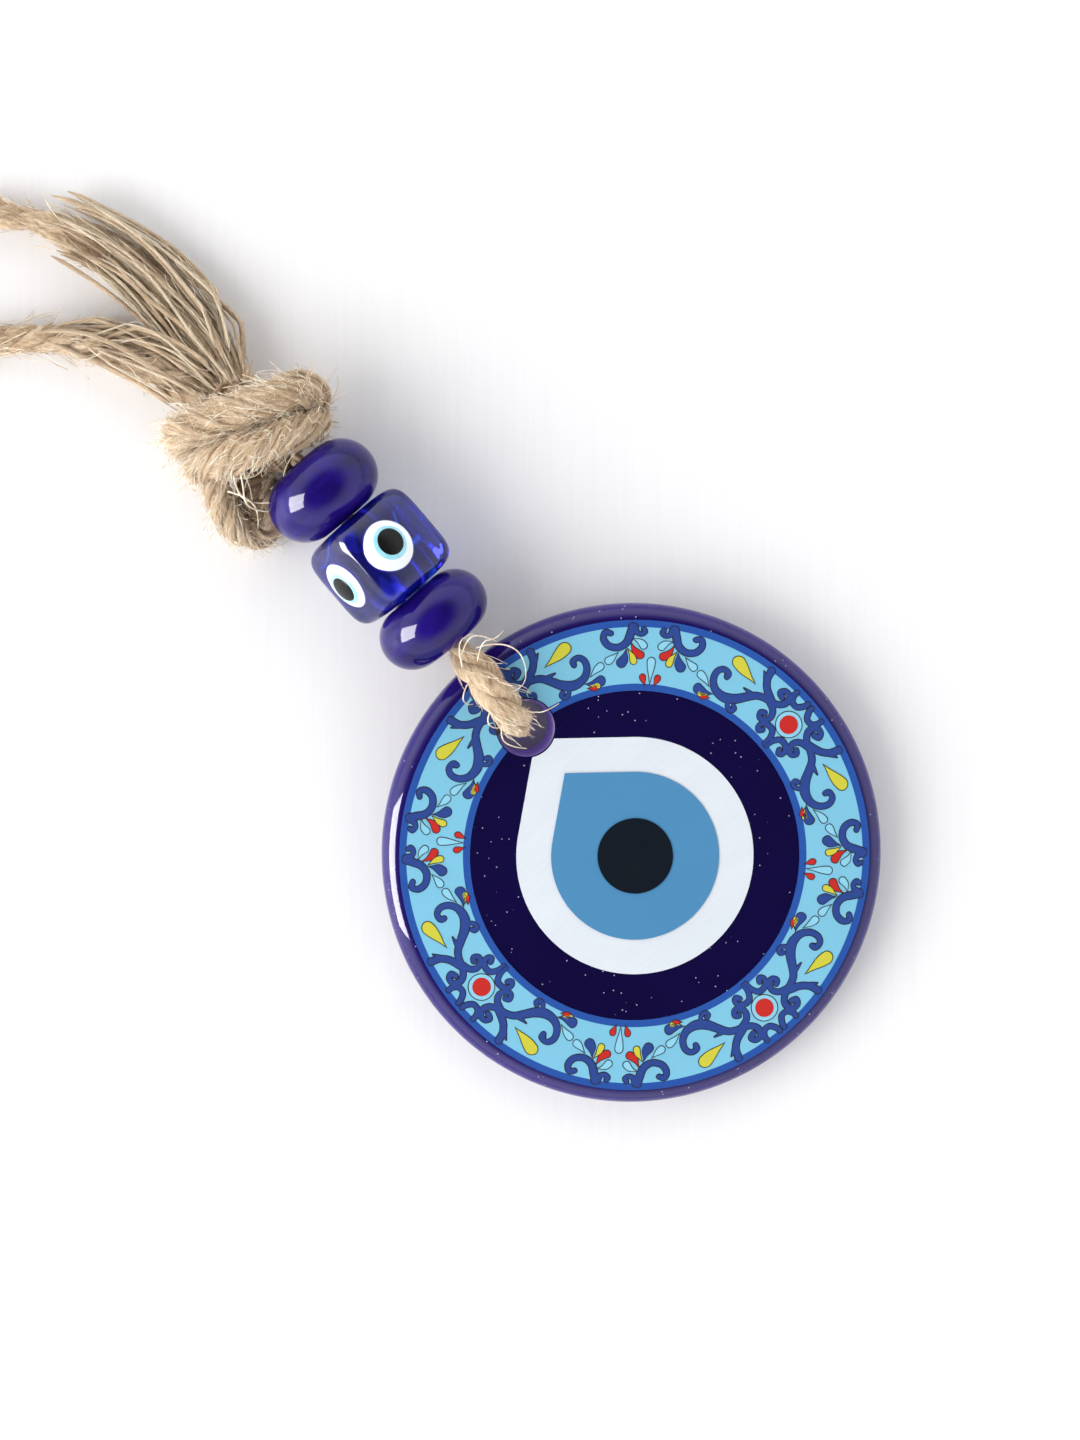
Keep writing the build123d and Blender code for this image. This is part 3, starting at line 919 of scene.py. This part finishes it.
def stray_fibres(name, routes, radius, material):
    """Single long fibres, each along its own route."""
    tubes = []
    for k, route in enumerate(routes):
        line = spline_line(route, 0.35 * MM)
        radii = radius * MM * (1 - 0.5 * np.linspace(0, 1, len(line)) ** 2)
        tubes.append(yarn_tube(line, radii, 90 + k, 60.0, 6))
    return join_tubes(name, tubes, material)


def fibres_on(name, source, density, length, thickness, lift, seed, material):
    """Loose fibres over a yarn piece, as a plain mesh of their own."""
    copy = add_object(name, source.data.copy())
    run_tree(copy, loose_fibres(), {
        "Density": density * 1e6, "Length": length * MM, "Thickness": thickness * MM,
        "Lift": lift, "Seed": seed, "Finish": material})
    copy.data = evaluated_mesh(copy)
    return copy


def keep_above(piece, height):
    """Lifts what would be under the table onto it."""
    mesh = piece.data
    co = np.empty(len(mesh.vertices) * 3, dtype=np.float32)
    mesh.vertices.foreach_get("co", co)
    co = co.reshape(-1, 3)
    co[:, 2] = np.maximum(co[:, 2], height)
    mesh.vertices.foreach_set("co", co.ravel())
    mesh.update()


def finish_cord(pieces, lowest):
    """What every piece of the cord has in common, apart from the part round the disc."""
    for piece in pieces:
        keep_above(piece, lowest * MM)
        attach(piece, "cord")


# The hanging loop's middle line, in millimetres: beside the string, beyond the knot's middle, over the table
last_bead_end = (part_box("upper_rondelle")[1][1] - disc_mid.y) / MM
knot_at = last_bead_end + 11.8
loop_route = [
    (-0.7, 7.0, 8.0),
    (0.7, 16.8, 5.0),
    (0.9, 26.5, 3.0),
    (0.3, 39.7, 3.0),
    (-4.4, 54.1, 3.0),
    (-13.6, 67.1, 3.0),
    (-25.3, 76.5, 3.0),
    (-38.4, 81.0, 3.0),
    (-50.5, 77.0, 3.0),
    (-54.0, 65.0, 3.0),
    (-45.5, 55.2, 3.0),
    (-32.0, 48.2, 3.0),
    (-20.4, 39.4, 3.0),
    (-13.6, 30.0, 3.0),
    (-9.2, 20.0, 5.0),
    (-6.5, 9.4, 8.0),
]


def hanging_loop(yarn, pale_yarn, hair, pale_hair):
    controls = [by_string(x, knot_at + y, z) for x, y, z in loop_route]
    line = spline_line(controls, 0.55 * MM)
    tubes = laid_plies(line, [7.0, 7.2, 6.6, 6, 6, 6, 6, 6, 6, 6, 5.8, 5.8, 6.2, 6.6], 17.0, 11,
                       open_up=[1, 1, 0.9, 0.6, 0.15, 0, 0, 0, 0, 0, 0, 0, 0.1, 0.2])
    rope = join_tubes("hanging_loop_rope", tubes, yarn)
    # where the cord leaves the knot it has come undone: loose yarns beside both legs
    source = np.random.default_rng(5)
    undone = [(start, start + source.uniform(0.16, 0.27), aside, above)
              for start, aside, above in zip(source.uniform(0.0, 0.05, 60), source.uniform(-8.2, 6.0, 60),
                                             source.uniform(0.0, 4.4, 60))]
    other = [(1 - source.uniform(0.12, 0.2), 1 - max(0.0, early), aside, above)
             for early, aside, above in zip(source.uniform(-0.02, 0.03, 30), source.uniform(-3.6, 6.4, 30),
                                            source.uniform(0.5, 3.8, 30))]
    thick = loose_strands(line, undone[::2] + other[::2], 201, (0.25, 0.6))
    thin = loose_strands(line, undone[1::2] + other[1::2], 301, (0.12, 0.4))
    dark_strands = join_tubes("undone_yarns", thick, yarn)
    pale_strands = join_tubes("undone_pale_yarns", thin, pale_yarn)
    fuzz = fibres_on("hanging_loop_fuzz", rope, 0.30, 3.6, 0.05, 0.35, 21, hair)
    long_fibres = fibres_on("hanging_loop_fibres", rope, 0.13, 9.0, 0.075, 0.10, 22, pale_hair)
    undone_fuzz = fibres_on("undone_fuzz", pale_strands, 0.20, 4.0, 0.05, 0.30, 23, pale_hair)
    others = [dark_strands, pale_strands, undone_fuzz, fuzz, long_fibres]
    finish_cord((rope, *others), 0.1)
    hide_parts("hanging_loop")


# Strands of the knot, whose middle is at KNOT_MID up the string: (route, diameter, number of yarns, pitch)
KNOT_MID = 115.98
knot_strands = {
    # the wrap: two strands side by side, up the right side, over the top and down the left side
    "wrap_upper": ([(6.5, 110.5, 4.5), (11.0, 112.0, 9.5), (9.5, 114.5, 15.5), (3.0, 117.2, 18.0),
                    (-5.5, 120.3, 17.5), (-13.5, 123.8, 14.0), (-16.5, 123.2, 8.5), (-11.0, 119.0, 5.0)],
                   8.8, 15, 26.0),
    "wrap_lower": ([(4.5, 107.8, 5.0), (8.6, 108.0, 11.5), (5.0, 108.8, 16.5), (-2.5, 110.8, 18.0),
                    (-9.5, 113.8, 16.5), (-15.2, 116.2, 12.0), (-15.0, 116.5, 6.5), (-8.0, 114.0, 4.8)],
                   8.4, 15, -24.0),
    # the lobe beside the last bead, and the return under it
    "lobe": ([(-10.0, 116.5, 8.5), (-14.5, 113.5, 11.0), (-17.4, 108.5, 9.0), (-18.0, 102.5, 6.0),
              (-16.0, 98.6, 4.2), (-12.6, 98.2, 3.6), (-10.6, 103.0, 4.0), (-5.0, 109.0, 6.0)],
             6.2, 11, 20.0),
    "core": ([(0.0, 105.6, 12.2), (-2.0, 110.0, 11.0), (-3.8, 116.0, 9.0), (-2.5, 122.5, 8.0),
              (-0.7, 125.0, 7.6)], 10.5, 13, 24.0),
    "back": ([(-1.0, 110.8, 6.5), (-6.0, 109.4, 5.4), (-9.8, 107.6, 5.0), (-12.6, 104.4, 4.6),
              (-13.2, 101.0, 4.2)], 7.2, 11, 18.0),
    "under": ([(8.0, 109.5, 6.0), (2.5, 113.5, 5.2), (-5.5, 117.0, 5.2), (-13.0, 120.5, 6.5)], 9.0, 10, 22.0),
    "fill": ([(5.0, 111.5, 7.0), (1.0, 112.0, 8.5), (-5.0, 112.6, 8.0), (-11.0, 112.0, 7.0)], 9.0, 12, 20.0),
}
# These inner strands take a darker copy of the yarn: painted shade, where the knot's wraps shade them.
strands_in_painted_shade = ("core", "back", "under", "fill")
# Single fibres over the hollow beside the last bead
hollow_fibres = [
    [(-11.5, 110.5, 16.0), (-13.8, 107.0, 13.0), (-11.5, 103.0, 10.0), (-8.5, 101.3, 11.5)],
    [(-9.5, 111.5, 17.5), (-11.2, 108.0, 15.0), (-13.8, 104.6, 12.0), (-11.5, 101.0, 9.0), (-9.2, 99.6, 9.0)],
    [(-7.0, 112.5, 19.0), (-10.0, 110.0, 15.5), (-10.2, 107.0, 11.0), (-12.5, 103.8, 8.0)],
    [(-13.5, 112.0, 14.5), (-10.5, 108.5, 14.0), (-7.0, 107.2, 12.5), (-4.5, 108.5, 13.0)],
    [(-14.5, 109.0, 13.0), (-12.0, 105.5, 13.0), (-12.6, 101.5, 9.0), (-14.8, 99.6, 7.0)],
    [(-4.0, 113.2, 20.3), (-8.0, 111.6, 19.3), (-11.0, 112.8, 18.0), (-12.4, 110.0, 14.6)],
]


def in_knot(route):
    return [by_string(x, y + knot_at - KNOT_MID, z) for x, y, z in route]


def knot(yarn, painted_shade_yarn, hair, pale_hair):
    tubes, inner = [], []
    for place, (label, (route, diameter, yarns, pitch)) in enumerate(knot_strands.items()):
        line = spline_line(in_knot(route), 0.65 * MM)
        taper = [0.75 * diameter, diameter, diameter, diameter, 0.75 * diameter]
        made = yarn_bundle(line, taper, yarns, pitch, 40 + 30 * place)
        # the inner strands get the darker yarn, a painted shade
        (inner if label in strands_in_painted_shade else tubes).extend(made)
    rope = join_tubes("overhand_knot", tubes, yarn)
    shaded = join_tubes("knot_in_painted_shade", inner, painted_shade_yarn)
    fuzz = fibres_on("knot_fuzz", rope, 0.46, 2.5, 0.055, 1.1, 31, pale_hair)
    long_fibres = fibres_on("knot_fibres", rope, 0.11, 6.5, 0.07, 0.30, 33, pale_hair)
    strays = stray_fibres("hollow_fibres", [in_knot(route) for route in hollow_fibres], 0.22, pale_hair)
    finish_cord((rope, shaded, fuzz, long_fibres, strays), 0.05)
    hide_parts("knot")


def bead_legs(yarn):
    """The two legs inside the beads, squeezed by the bores."""
    low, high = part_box("bead_run")
    tubes = []
    for side in (1, -1):
        stations = (low[1], low[1] * 0.6 + high[1] * 0.4, high[1])
        ends = [Vector((0, y, string_z + side * 1.65 * MM)) for y in stations]
        tubes += laid_plies(spline_line(ends, 0.8 * MM), [3.2], 9.0, 60 + side, phase=side)
    rope = join_tubes("bead_legs", tubes, yarn)
    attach(rope, "cord")
    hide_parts("bead_run")


# Single fibres over the disc beside the cord, as on_disc takes them
fibres_by_hole = [
    [(2.6, 52.5, 9.5), (6.2, 51.0, 11.5), (8.6, 47.0, 11.0), (7.4, 42.8, 9.0),
     (4.6, 40.4, 9.0), (1.8, 41.6, 10.2)],
    [(-0.5, 53.5, 11.0), (2.2, 55.5, 12.5), (4.8, 54.2, 11.0), (6.4, 50.8, 8.6)],
    [(1.0, 50.5, 10.5), (4.0, 53.4, 12.5), (6.4, 51.4, 12.0), (8.6, 51.8, 11.0)],
    [(-2.0, 51.5, 10.5), (-0.5, 55.0, 13.5), (1.6, 56.4, 14.0), (3.6, 55.4, 13.0)],
    [(1.5, 37.0, 8.5), (3.4, 34.6, 7.0), (5.6, 33.4, 5.6), (8.0, 33.0, 5.2)],
    [(-3.2, 37.6, 8.0), (-5.4, 35.6, 6.4), (-4.6, 32.4, 5.6), (-2.6, 30.4, 5.2)],
    [(-3.4, 48.0, 8.0), (-5.8, 47.0, 8.5), (-6.2, 44.8, 6.4), (-5.0, 44.0, 5.4)],
    [(-2.6, 41.5, 9.0), (-5.2, 40.4, 8.0), (-5.2, 37.6, 5.6), (-3.6, 36.8, 5.6)],
]


def disc_loop(yarn, hair, pale_hair):
    """The bight through the disc: out of the first bead, over the face, through the hole, back underneath."""
    first_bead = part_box("disc_loop")[1][1]
    over = DISC_T / 2 + 3.0
    under = -(DISC_T / 2 + 2.0)
    route = [
        Vector((0, first_bead + 0.2 * MM, string_z + 1.7 * MM)),
        Vector((0.0, first_bead - 1.6 * MM, string_z + 2.6 * MM)),
        Vector((-0.2 * MM, first_bead - 4.5 * MM, string_z + 2.4 * MM)),
        on_disc(-0.3, 46.5, over + 0.8),
        on_disc(-0.4, 42.0, over + 0.5),
        on_disc(-0.5, 37.6, over - 0.2),
        on_disc(-0.5, 35.0, 3.6),
        on_disc(-0.3, 34.2, -1.0),
        on_disc(0.0, 35.0, -5.0),
        on_disc(0.0, 38.0, under + 0.1),
        on_disc(0.0, 43.0, under),
        on_disc(0.0, 48.5, under),
        on_disc(0.0, 52.8, -4.0),
        Vector((0, first_bead - 1.6 * MM, string_z - 4.4 * MM)),
        Vector((0, first_bead + 0.2 * MM, string_z - 1.7 * MM)),
    ]
    line = spline_line(route, 0.4 * MM)
    width = [3.4, 6.4, 7.6, 7.6, 7.4, 6.8, 6.0, 5.0, 4.4, 3.9, 3.7, 3.7, 3.5, 3.3, 3.2]
    loose = [0, 0.1, 0.1, 0.05, 0, 0, 0, 0, 0, 0, 0, 0, 0, 0, 0]
    tubes = laid_plies(line, width, 21.0, 71, open_up=loose, spread=1.9, phase=0.9)
    rope = join_tubes("disc_loop_rope", tubes, yarn)
    fuzz = fibres_on("disc_loop_fuzz", rope, 0.22, 2.4, 0.045, 0.35, 75, hair)
    long_fibres = fibres_on("disc_loop_fibres", rope, 0.14, 6.0, 0.065, 0.06, 77, pale_hair)
    by_hole = [[on_disc(*place) for place in fibre] for fibre in fibres_by_hole]
    strays = stray_fibres("disc_loop_strays", by_hole, 0.15, pale_hair)
    for piece in (rope, fuzz, long_fibres, strays):
        keep_above(piece, 0.05 * MM)
        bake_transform(piece)
    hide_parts("disc_loop")


# ---------------------------------------------------------------------------
# Beads
# ---------------------------------------------------------------------------
def rondelle(name, node, origin, material):
    low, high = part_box(node)
    bulge = (high[1] - low[1]) / 2 / MM
    centre = RONDELLE_R - bulge
    open_at = math.degrees(math.acos((BORE_R - centre) / bulge))
    profile = arc((centre, 0), bulge, -open_at, open_at, 40)
    length = bulge * math.sin(math.radians(open_at))
    profile += [(BORE_R, y) for y in np.linspace(length, -length, 8)[1:-1]]
    bead = turned(name, profile, origin, (0, 1, 0), material)
    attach(bead, node)
    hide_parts(node)


def cube_bead(material, cuts=28):
    """A cube with crowned sides and soft corners: a divided cube, drawn in by a power norm."""
    work = bmesh.new()
    bmesh.ops.create_cube(work, size=2)
    bmesh.ops.subdivide_edges(work, edges=work.edges, cuts=cuts, use_grid_fill=True)
    half = Vector((CUBE_HALF, CUBE_HALF_L, CUBE_HALF)) * MM
    for vert in work.verts:
        size = sum(abs(c) ** CUBE_POWER for c in vert.co) ** (1 / CUBE_POWER)
        vert.co = Vector(c / size * h for c, h in zip(vert.co, half))
    mesh = bpy.data.meshes.new("crowned_cube")
    work.to_mesh(mesh)
    work.free()
    mesh.materials.append(material)
    bead = add_object("crowned_cube", mesh)
    bore_turns = 64
    length = CUBE_HALF_L * 1.3
    rings = [(BORE_R, -length), (BORE_R, length)]
    points = [Vector((r * math.cos(a), y, r * math.sin(a))) * MM
              for r, y in rings for a in np.linspace(0, math.tau, bore_turns, endpoint=False)]
    faces = ring_faces(2, bore_turns)
    faces += [tuple(range(bore_turns)), tuple(range(2 * bore_turns - 1, bore_turns - 1, -1))]
    drill = new_piece("drill", points, faces, material)
    face_outwards(drill)
    cut = bead.modifiers.new("bore", "BOOLEAN")
    cut.object = drill
    cut.solver = "EXACT"
    bead.data = evaluated_mesh(bead)
    bpy.data.objects.remove(drill)
    turn = Matrix.Rotation(math.atan2(cube_top.x, cube_top.z), 4, "Y")
    bead.data.transform(Matrix.Translation(cube_mid) @ turn)
    for face in bead.data.polygons:
        face.use_smooth = True
    bead.data.set_sharp_from_angle(angle=math.radians(40))
    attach(bead, "cube_bead")
    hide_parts("cube_bead")


def cube_eyes(white, blue, black):
    """Three glass drops on each side of the cube, each a thin lens on the one under it."""
    ball = (EYE_R ** 2 + EYE_RISE ** 2) / (2 * EYE_RISE)
    sunk = -1.2
    for side in range(1, 5):
        out = Matrix.Rotation(math.radians(90 * (side - 1)), 3, "Y") @ cube_top
        eye_mid = middle(f"eye_white_{side}")
        foot = eye_mid - out * (eye_mid - cube_mid).dot(out)
        slip = Vector((0, 1, 0)) * (0.35 if side % 2 else -0.25) + out.cross(Vector((0, 1, 0))) * -0.3
        off_middle = (foot - cube_mid).length / MM
        sink = CUBE_HALF * (1 - (1 - (off_middle / CUBE_HALF) ** CUBE_POWER) ** (1 / CUBE_POWER)) + 0.1
        layers = (("white", EYE_R, 0.0, white, 0.0), ("iris", IRIS_R, 0.10, blue, 0.6),
                  ("pupil", EYE_PUPIL_R, 0.20, black, 1.0))
        for layer, radius, lift, material, share in layers:
            profile = [(0.0005, sunk), (radius * 0.98, sunk)]
            for r in np.linspace(radius, 0.0005, 16):
                rounding = 0.25 * max(0.0, (r / radius - 0.93) / 0.07) ** 2
                profile.append((r, math.sqrt(ball ** 2 - r ** 2) - (ball - EYE_RISE) + lift - rounding))
            origin = foot + (out * (CUBE_HALF - sink) + slip * share) * MM
            piece = turned(f"cube_{layer}_{side}", profile, origin, out, material, 64)
            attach(piece, "cube_bead")
            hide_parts(f"eye_{layer}_{side}")


# ---------------------------------------------------------------------------
# Camera, table and light. The camera looks straight down, rolled so that the string runs to the upper left.
# ---------------------------------------------------------------------------
ROLL = math.radians(40.5)
CAMERA_HEIGHT = 0.51
VIEW_WIDTH = 0.2188  # across the table, under the camera
SHIFT = (0.050, -0.025)  # the view's middle from the camera's foot, right and up
WINDOW = {"size": (0.50, 0.24), "power": 11.0, "colour": (1.0, 0.98, 0.98)}
camera_up = Vector((math.sin(ROLL), math.cos(ROLL), 0))
camera_right = Vector((math.cos(ROLL), -math.sin(ROLL), 0))
camera_foot = disc_mid - camera_right * 67.6 * MM + camera_up * 51.2 * MM


def camera():
    data = bpy.data.cameras.new("camera")
    data.sensor_fit = "HORIZONTAL"
    data.sensor_width = 36.0
    data.lens = 36.0 * CAMERA_HEIGHT / VIEW_WIDTH
    data.shift_x, data.shift_y = (away / VIEW_WIDTH for away in SHIFT)
    seat = add_object("camera", data)
    turn = Matrix((camera_right, camera_up, (0, 0, 1))).transposed().to_4x4()
    seat.matrix_world = Matrix.Translation((camera_foot.x, camera_foot.y, CAMERA_HEIGHT)) @ turn
    bpy.context.scene.camera = seat


def area_light(name, place, target, size, power, colour, lights):
    """A light that is seen only in reflections, or one that only lights surfaces."""
    data = bpy.data.lights.new(name, "AREA")
    data.shape = "RECTANGLE"
    data.size, data.size_y = size
    data.energy = power
    data.color = colour
    lamp = add_object(name, data)
    away = (place - target).normalized()
    across = camera_up.cross(away).normalized()
    turn = Matrix((across, away.cross(across), away)).transposed().to_4x4()
    lamp.matrix_world = Matrix.Translation(place) @ turn
    lamp.visible_diffuse = lights == "surfaces"
    lamp.visible_glossy = lights == "reflections"


def room():
    """A bright room, lighter towards the window, dark overhead as under somebody who leans over the table."""
    world = bpy.data.worlds.new("room")
    bpy.context.scene.world = world
    sky = Finish("room", world, "Background", Strength=1.0)
    way = sky.node("ShaderNodeTexCoord", out="Generated")
    height = sky.vector("DOT_PRODUCT", way, (0, 0, 1), "Value")
    to_window = sky.vector("DOT_PRODUCT", way, tuple(-camera_right), "Value")
    overhead = sky.fade(height, 0.42, 0.88, 1.0, 0.05, interpolation_type="SMOOTHSTEP")
    strength = (2.30 + 0.50 * to_window) * overhead
    sky.set(Color=(0.97, 0.985, 1.0), Strength=strength)


def surroundings():
    size = 1.5
    points = [(x, y, 0) for x, y in ((-size, -size), (size, -size), (size, size), (-size, size))]
    floor = new_piece("table", points, [(0, 1, 2, 3)], table_finish(), smooth=False)
    room()
    aim = disc_mid.copy()
    for pane, shift in (("near", -0.12), ("far", 0.12)):
        place = aim - camera_right * 0.70 + camera_up * (shift - 0.16) + Vector((0, 0, 0.36))
        area_light(f"window_{pane}", place, aim, lights="reflections", **WINDOW)
    glow_at = aim - camera_right * 0.7 - camera_up * 0.2 + Vector((0, 0, 0.5))
    area_light("window_glow", glow_at, aim, (0.7, 0.7), 5.5, (1.0, 0.985, 0.965), "surfaces")
    bpy.context.scene.view_settings.view_transform = "Standard"


# ---------------------------------------------------------------------------
# Making
# ---------------------------------------------------------------------------
camera()
surroundings()

navy = cobalt_glass()
glass_disc(navy)
ground = printed("ring ground", (0.155, 0.430, 0.590), (0.200, 0.500, 0.660))
border = printed("ring border", (0.010, 0.055, 0.270), (0.018, 0.085, 0.360))
scroll_blue = printed("scroll blue", (0.012, 0.035, 0.180), (0.025, 0.065, 0.280))
red = printed("print red", (0.430, 0.012, 0.010), (0.520, 0.022, 0.016))
yellow = printed("print yellow", (0.480, 0.460, 0.030), (0.580, 0.540, 0.055))
dark_line = printed("print line", (0.010, 0.010, 0.014), (0.030, 0.022, 0.020))
pale = printed("print pale", (0.200, 0.500, 0.650), (0.260, 0.560, 0.710))
white_paint = brushed_paint("white paint", (0.520, 0.560, 0.610), (0.700, 0.735, 0.780), 0.5)
blue_paint = brushed_paint("blue paint", (0.054, 0.198, 0.370), (0.072, 0.232, 0.425), 0.1)
black_paint = brushed_paint("black paint", (0.001, 0.004, 0.009), (0.004, 0.008, 0.014), 0.08)
painted_nodes = {"ring_ground": ground, "ring_border_outer": border, "ring_border_inner": border,
                 "ring_dots": red, "white_drop": white_paint, "blue_drop": blue_paint, "pupil": black_paint}
for node, material in painted_nodes.items():
    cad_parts[node].data.materials.clear()
    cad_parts[node].data.materials.append(material)

petal_groups = ((blue_petals, scroll_blue, "blue_petals", "print_border"),
                (red_petals, red, "red_petals", "print_red"),
                (yellow_petals, yellow, "yellow_petals", "print_yellow"),
                (pale_petals, pale, "pale_petals", "print_ground"))
outlines = [stroke(controls, widths, LINE_W) for controls, widths in scrolls]
red_petals += red_buds
for petals, material, name, slot_name in petal_groups:
    outlines += [petal(tip, head, width, LINE_W, bend) for tip, head, width, bend in petals]
    shapes = [petal(tip, head, width, 0.0, bend) for tip, head, width, bend in petals]
    if name == "pale_petals":
        shapes += [half_petal(), half_dot(DOT_R)]
    made = pattern_piece(name, shapes, COLOUR_Z, material)
    if name == "yellow_petals":
        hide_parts("ring_leaves")
outlines += [half_petal(LINE_W), half_dot(DOT_R + LINE_W)]
pattern_piece("pattern_lines", outlines, LINE_Z, dark_line)
painted_scrolls = [stroke(controls, widths) for controls, widths in scrolls]
pattern_piece("blue_scrolls", painted_scrolls, COLOUR_Z, scroll_blue)

glass = bead_glass()
rondelle("rondelle_by_disc", "lower_rondelle", lower_mid, glass)
rondelle("rondelle_by_knot", "upper_rondelle", upper_mid, glass)
cube_bead(clear_cobalt_glass())
cube_eyes(drop_glass("eye white glass", (0.80, 0.84, 0.86), (0.88, 0.90, 0.90)),
          drop_glass("eye blue glass", (0.20, 0.55, 0.72), (0.42, 0.78, 0.86)),
          drop_glass("eye black glass", (0.003, 0.003, 0.003), (0.010, 0.010, 0.009), 0.15))

yarn = jute("jute yarn", (0.200, 0.110, 0.055), (0.520, 0.370, 0.230), (0.820, 0.680, 0.510))
pale_yarn = jute("pale jute yarn", (0.380, 0.250, 0.140), (0.700, 0.560, 0.390), (0.900, 0.810, 0.650))
# a darker copy of the yarn: painted shade for the strands inside the knot
painted_shade_yarn = jute("shaded jute yarn", (0.100, 0.050, 0.025), (0.260, 0.160, 0.090), (0.500, 0.360, 0.230))
hair = hair_finish("jute fibres", (0.380, 0.235, 0.125), (0.800, 0.640, 0.455))
pale_hair = hair_finish("pale jute fibres", (0.660, 0.490, 0.310), (0.940, 0.860, 0.700))
hanging_loop(yarn, pale_yarn, hair, pale_hair)
knot(yarn, painted_shade_yarn, hair, pale_hair)
bead_legs(yarn)
disc_loop(yarn, hair, pale_hair)
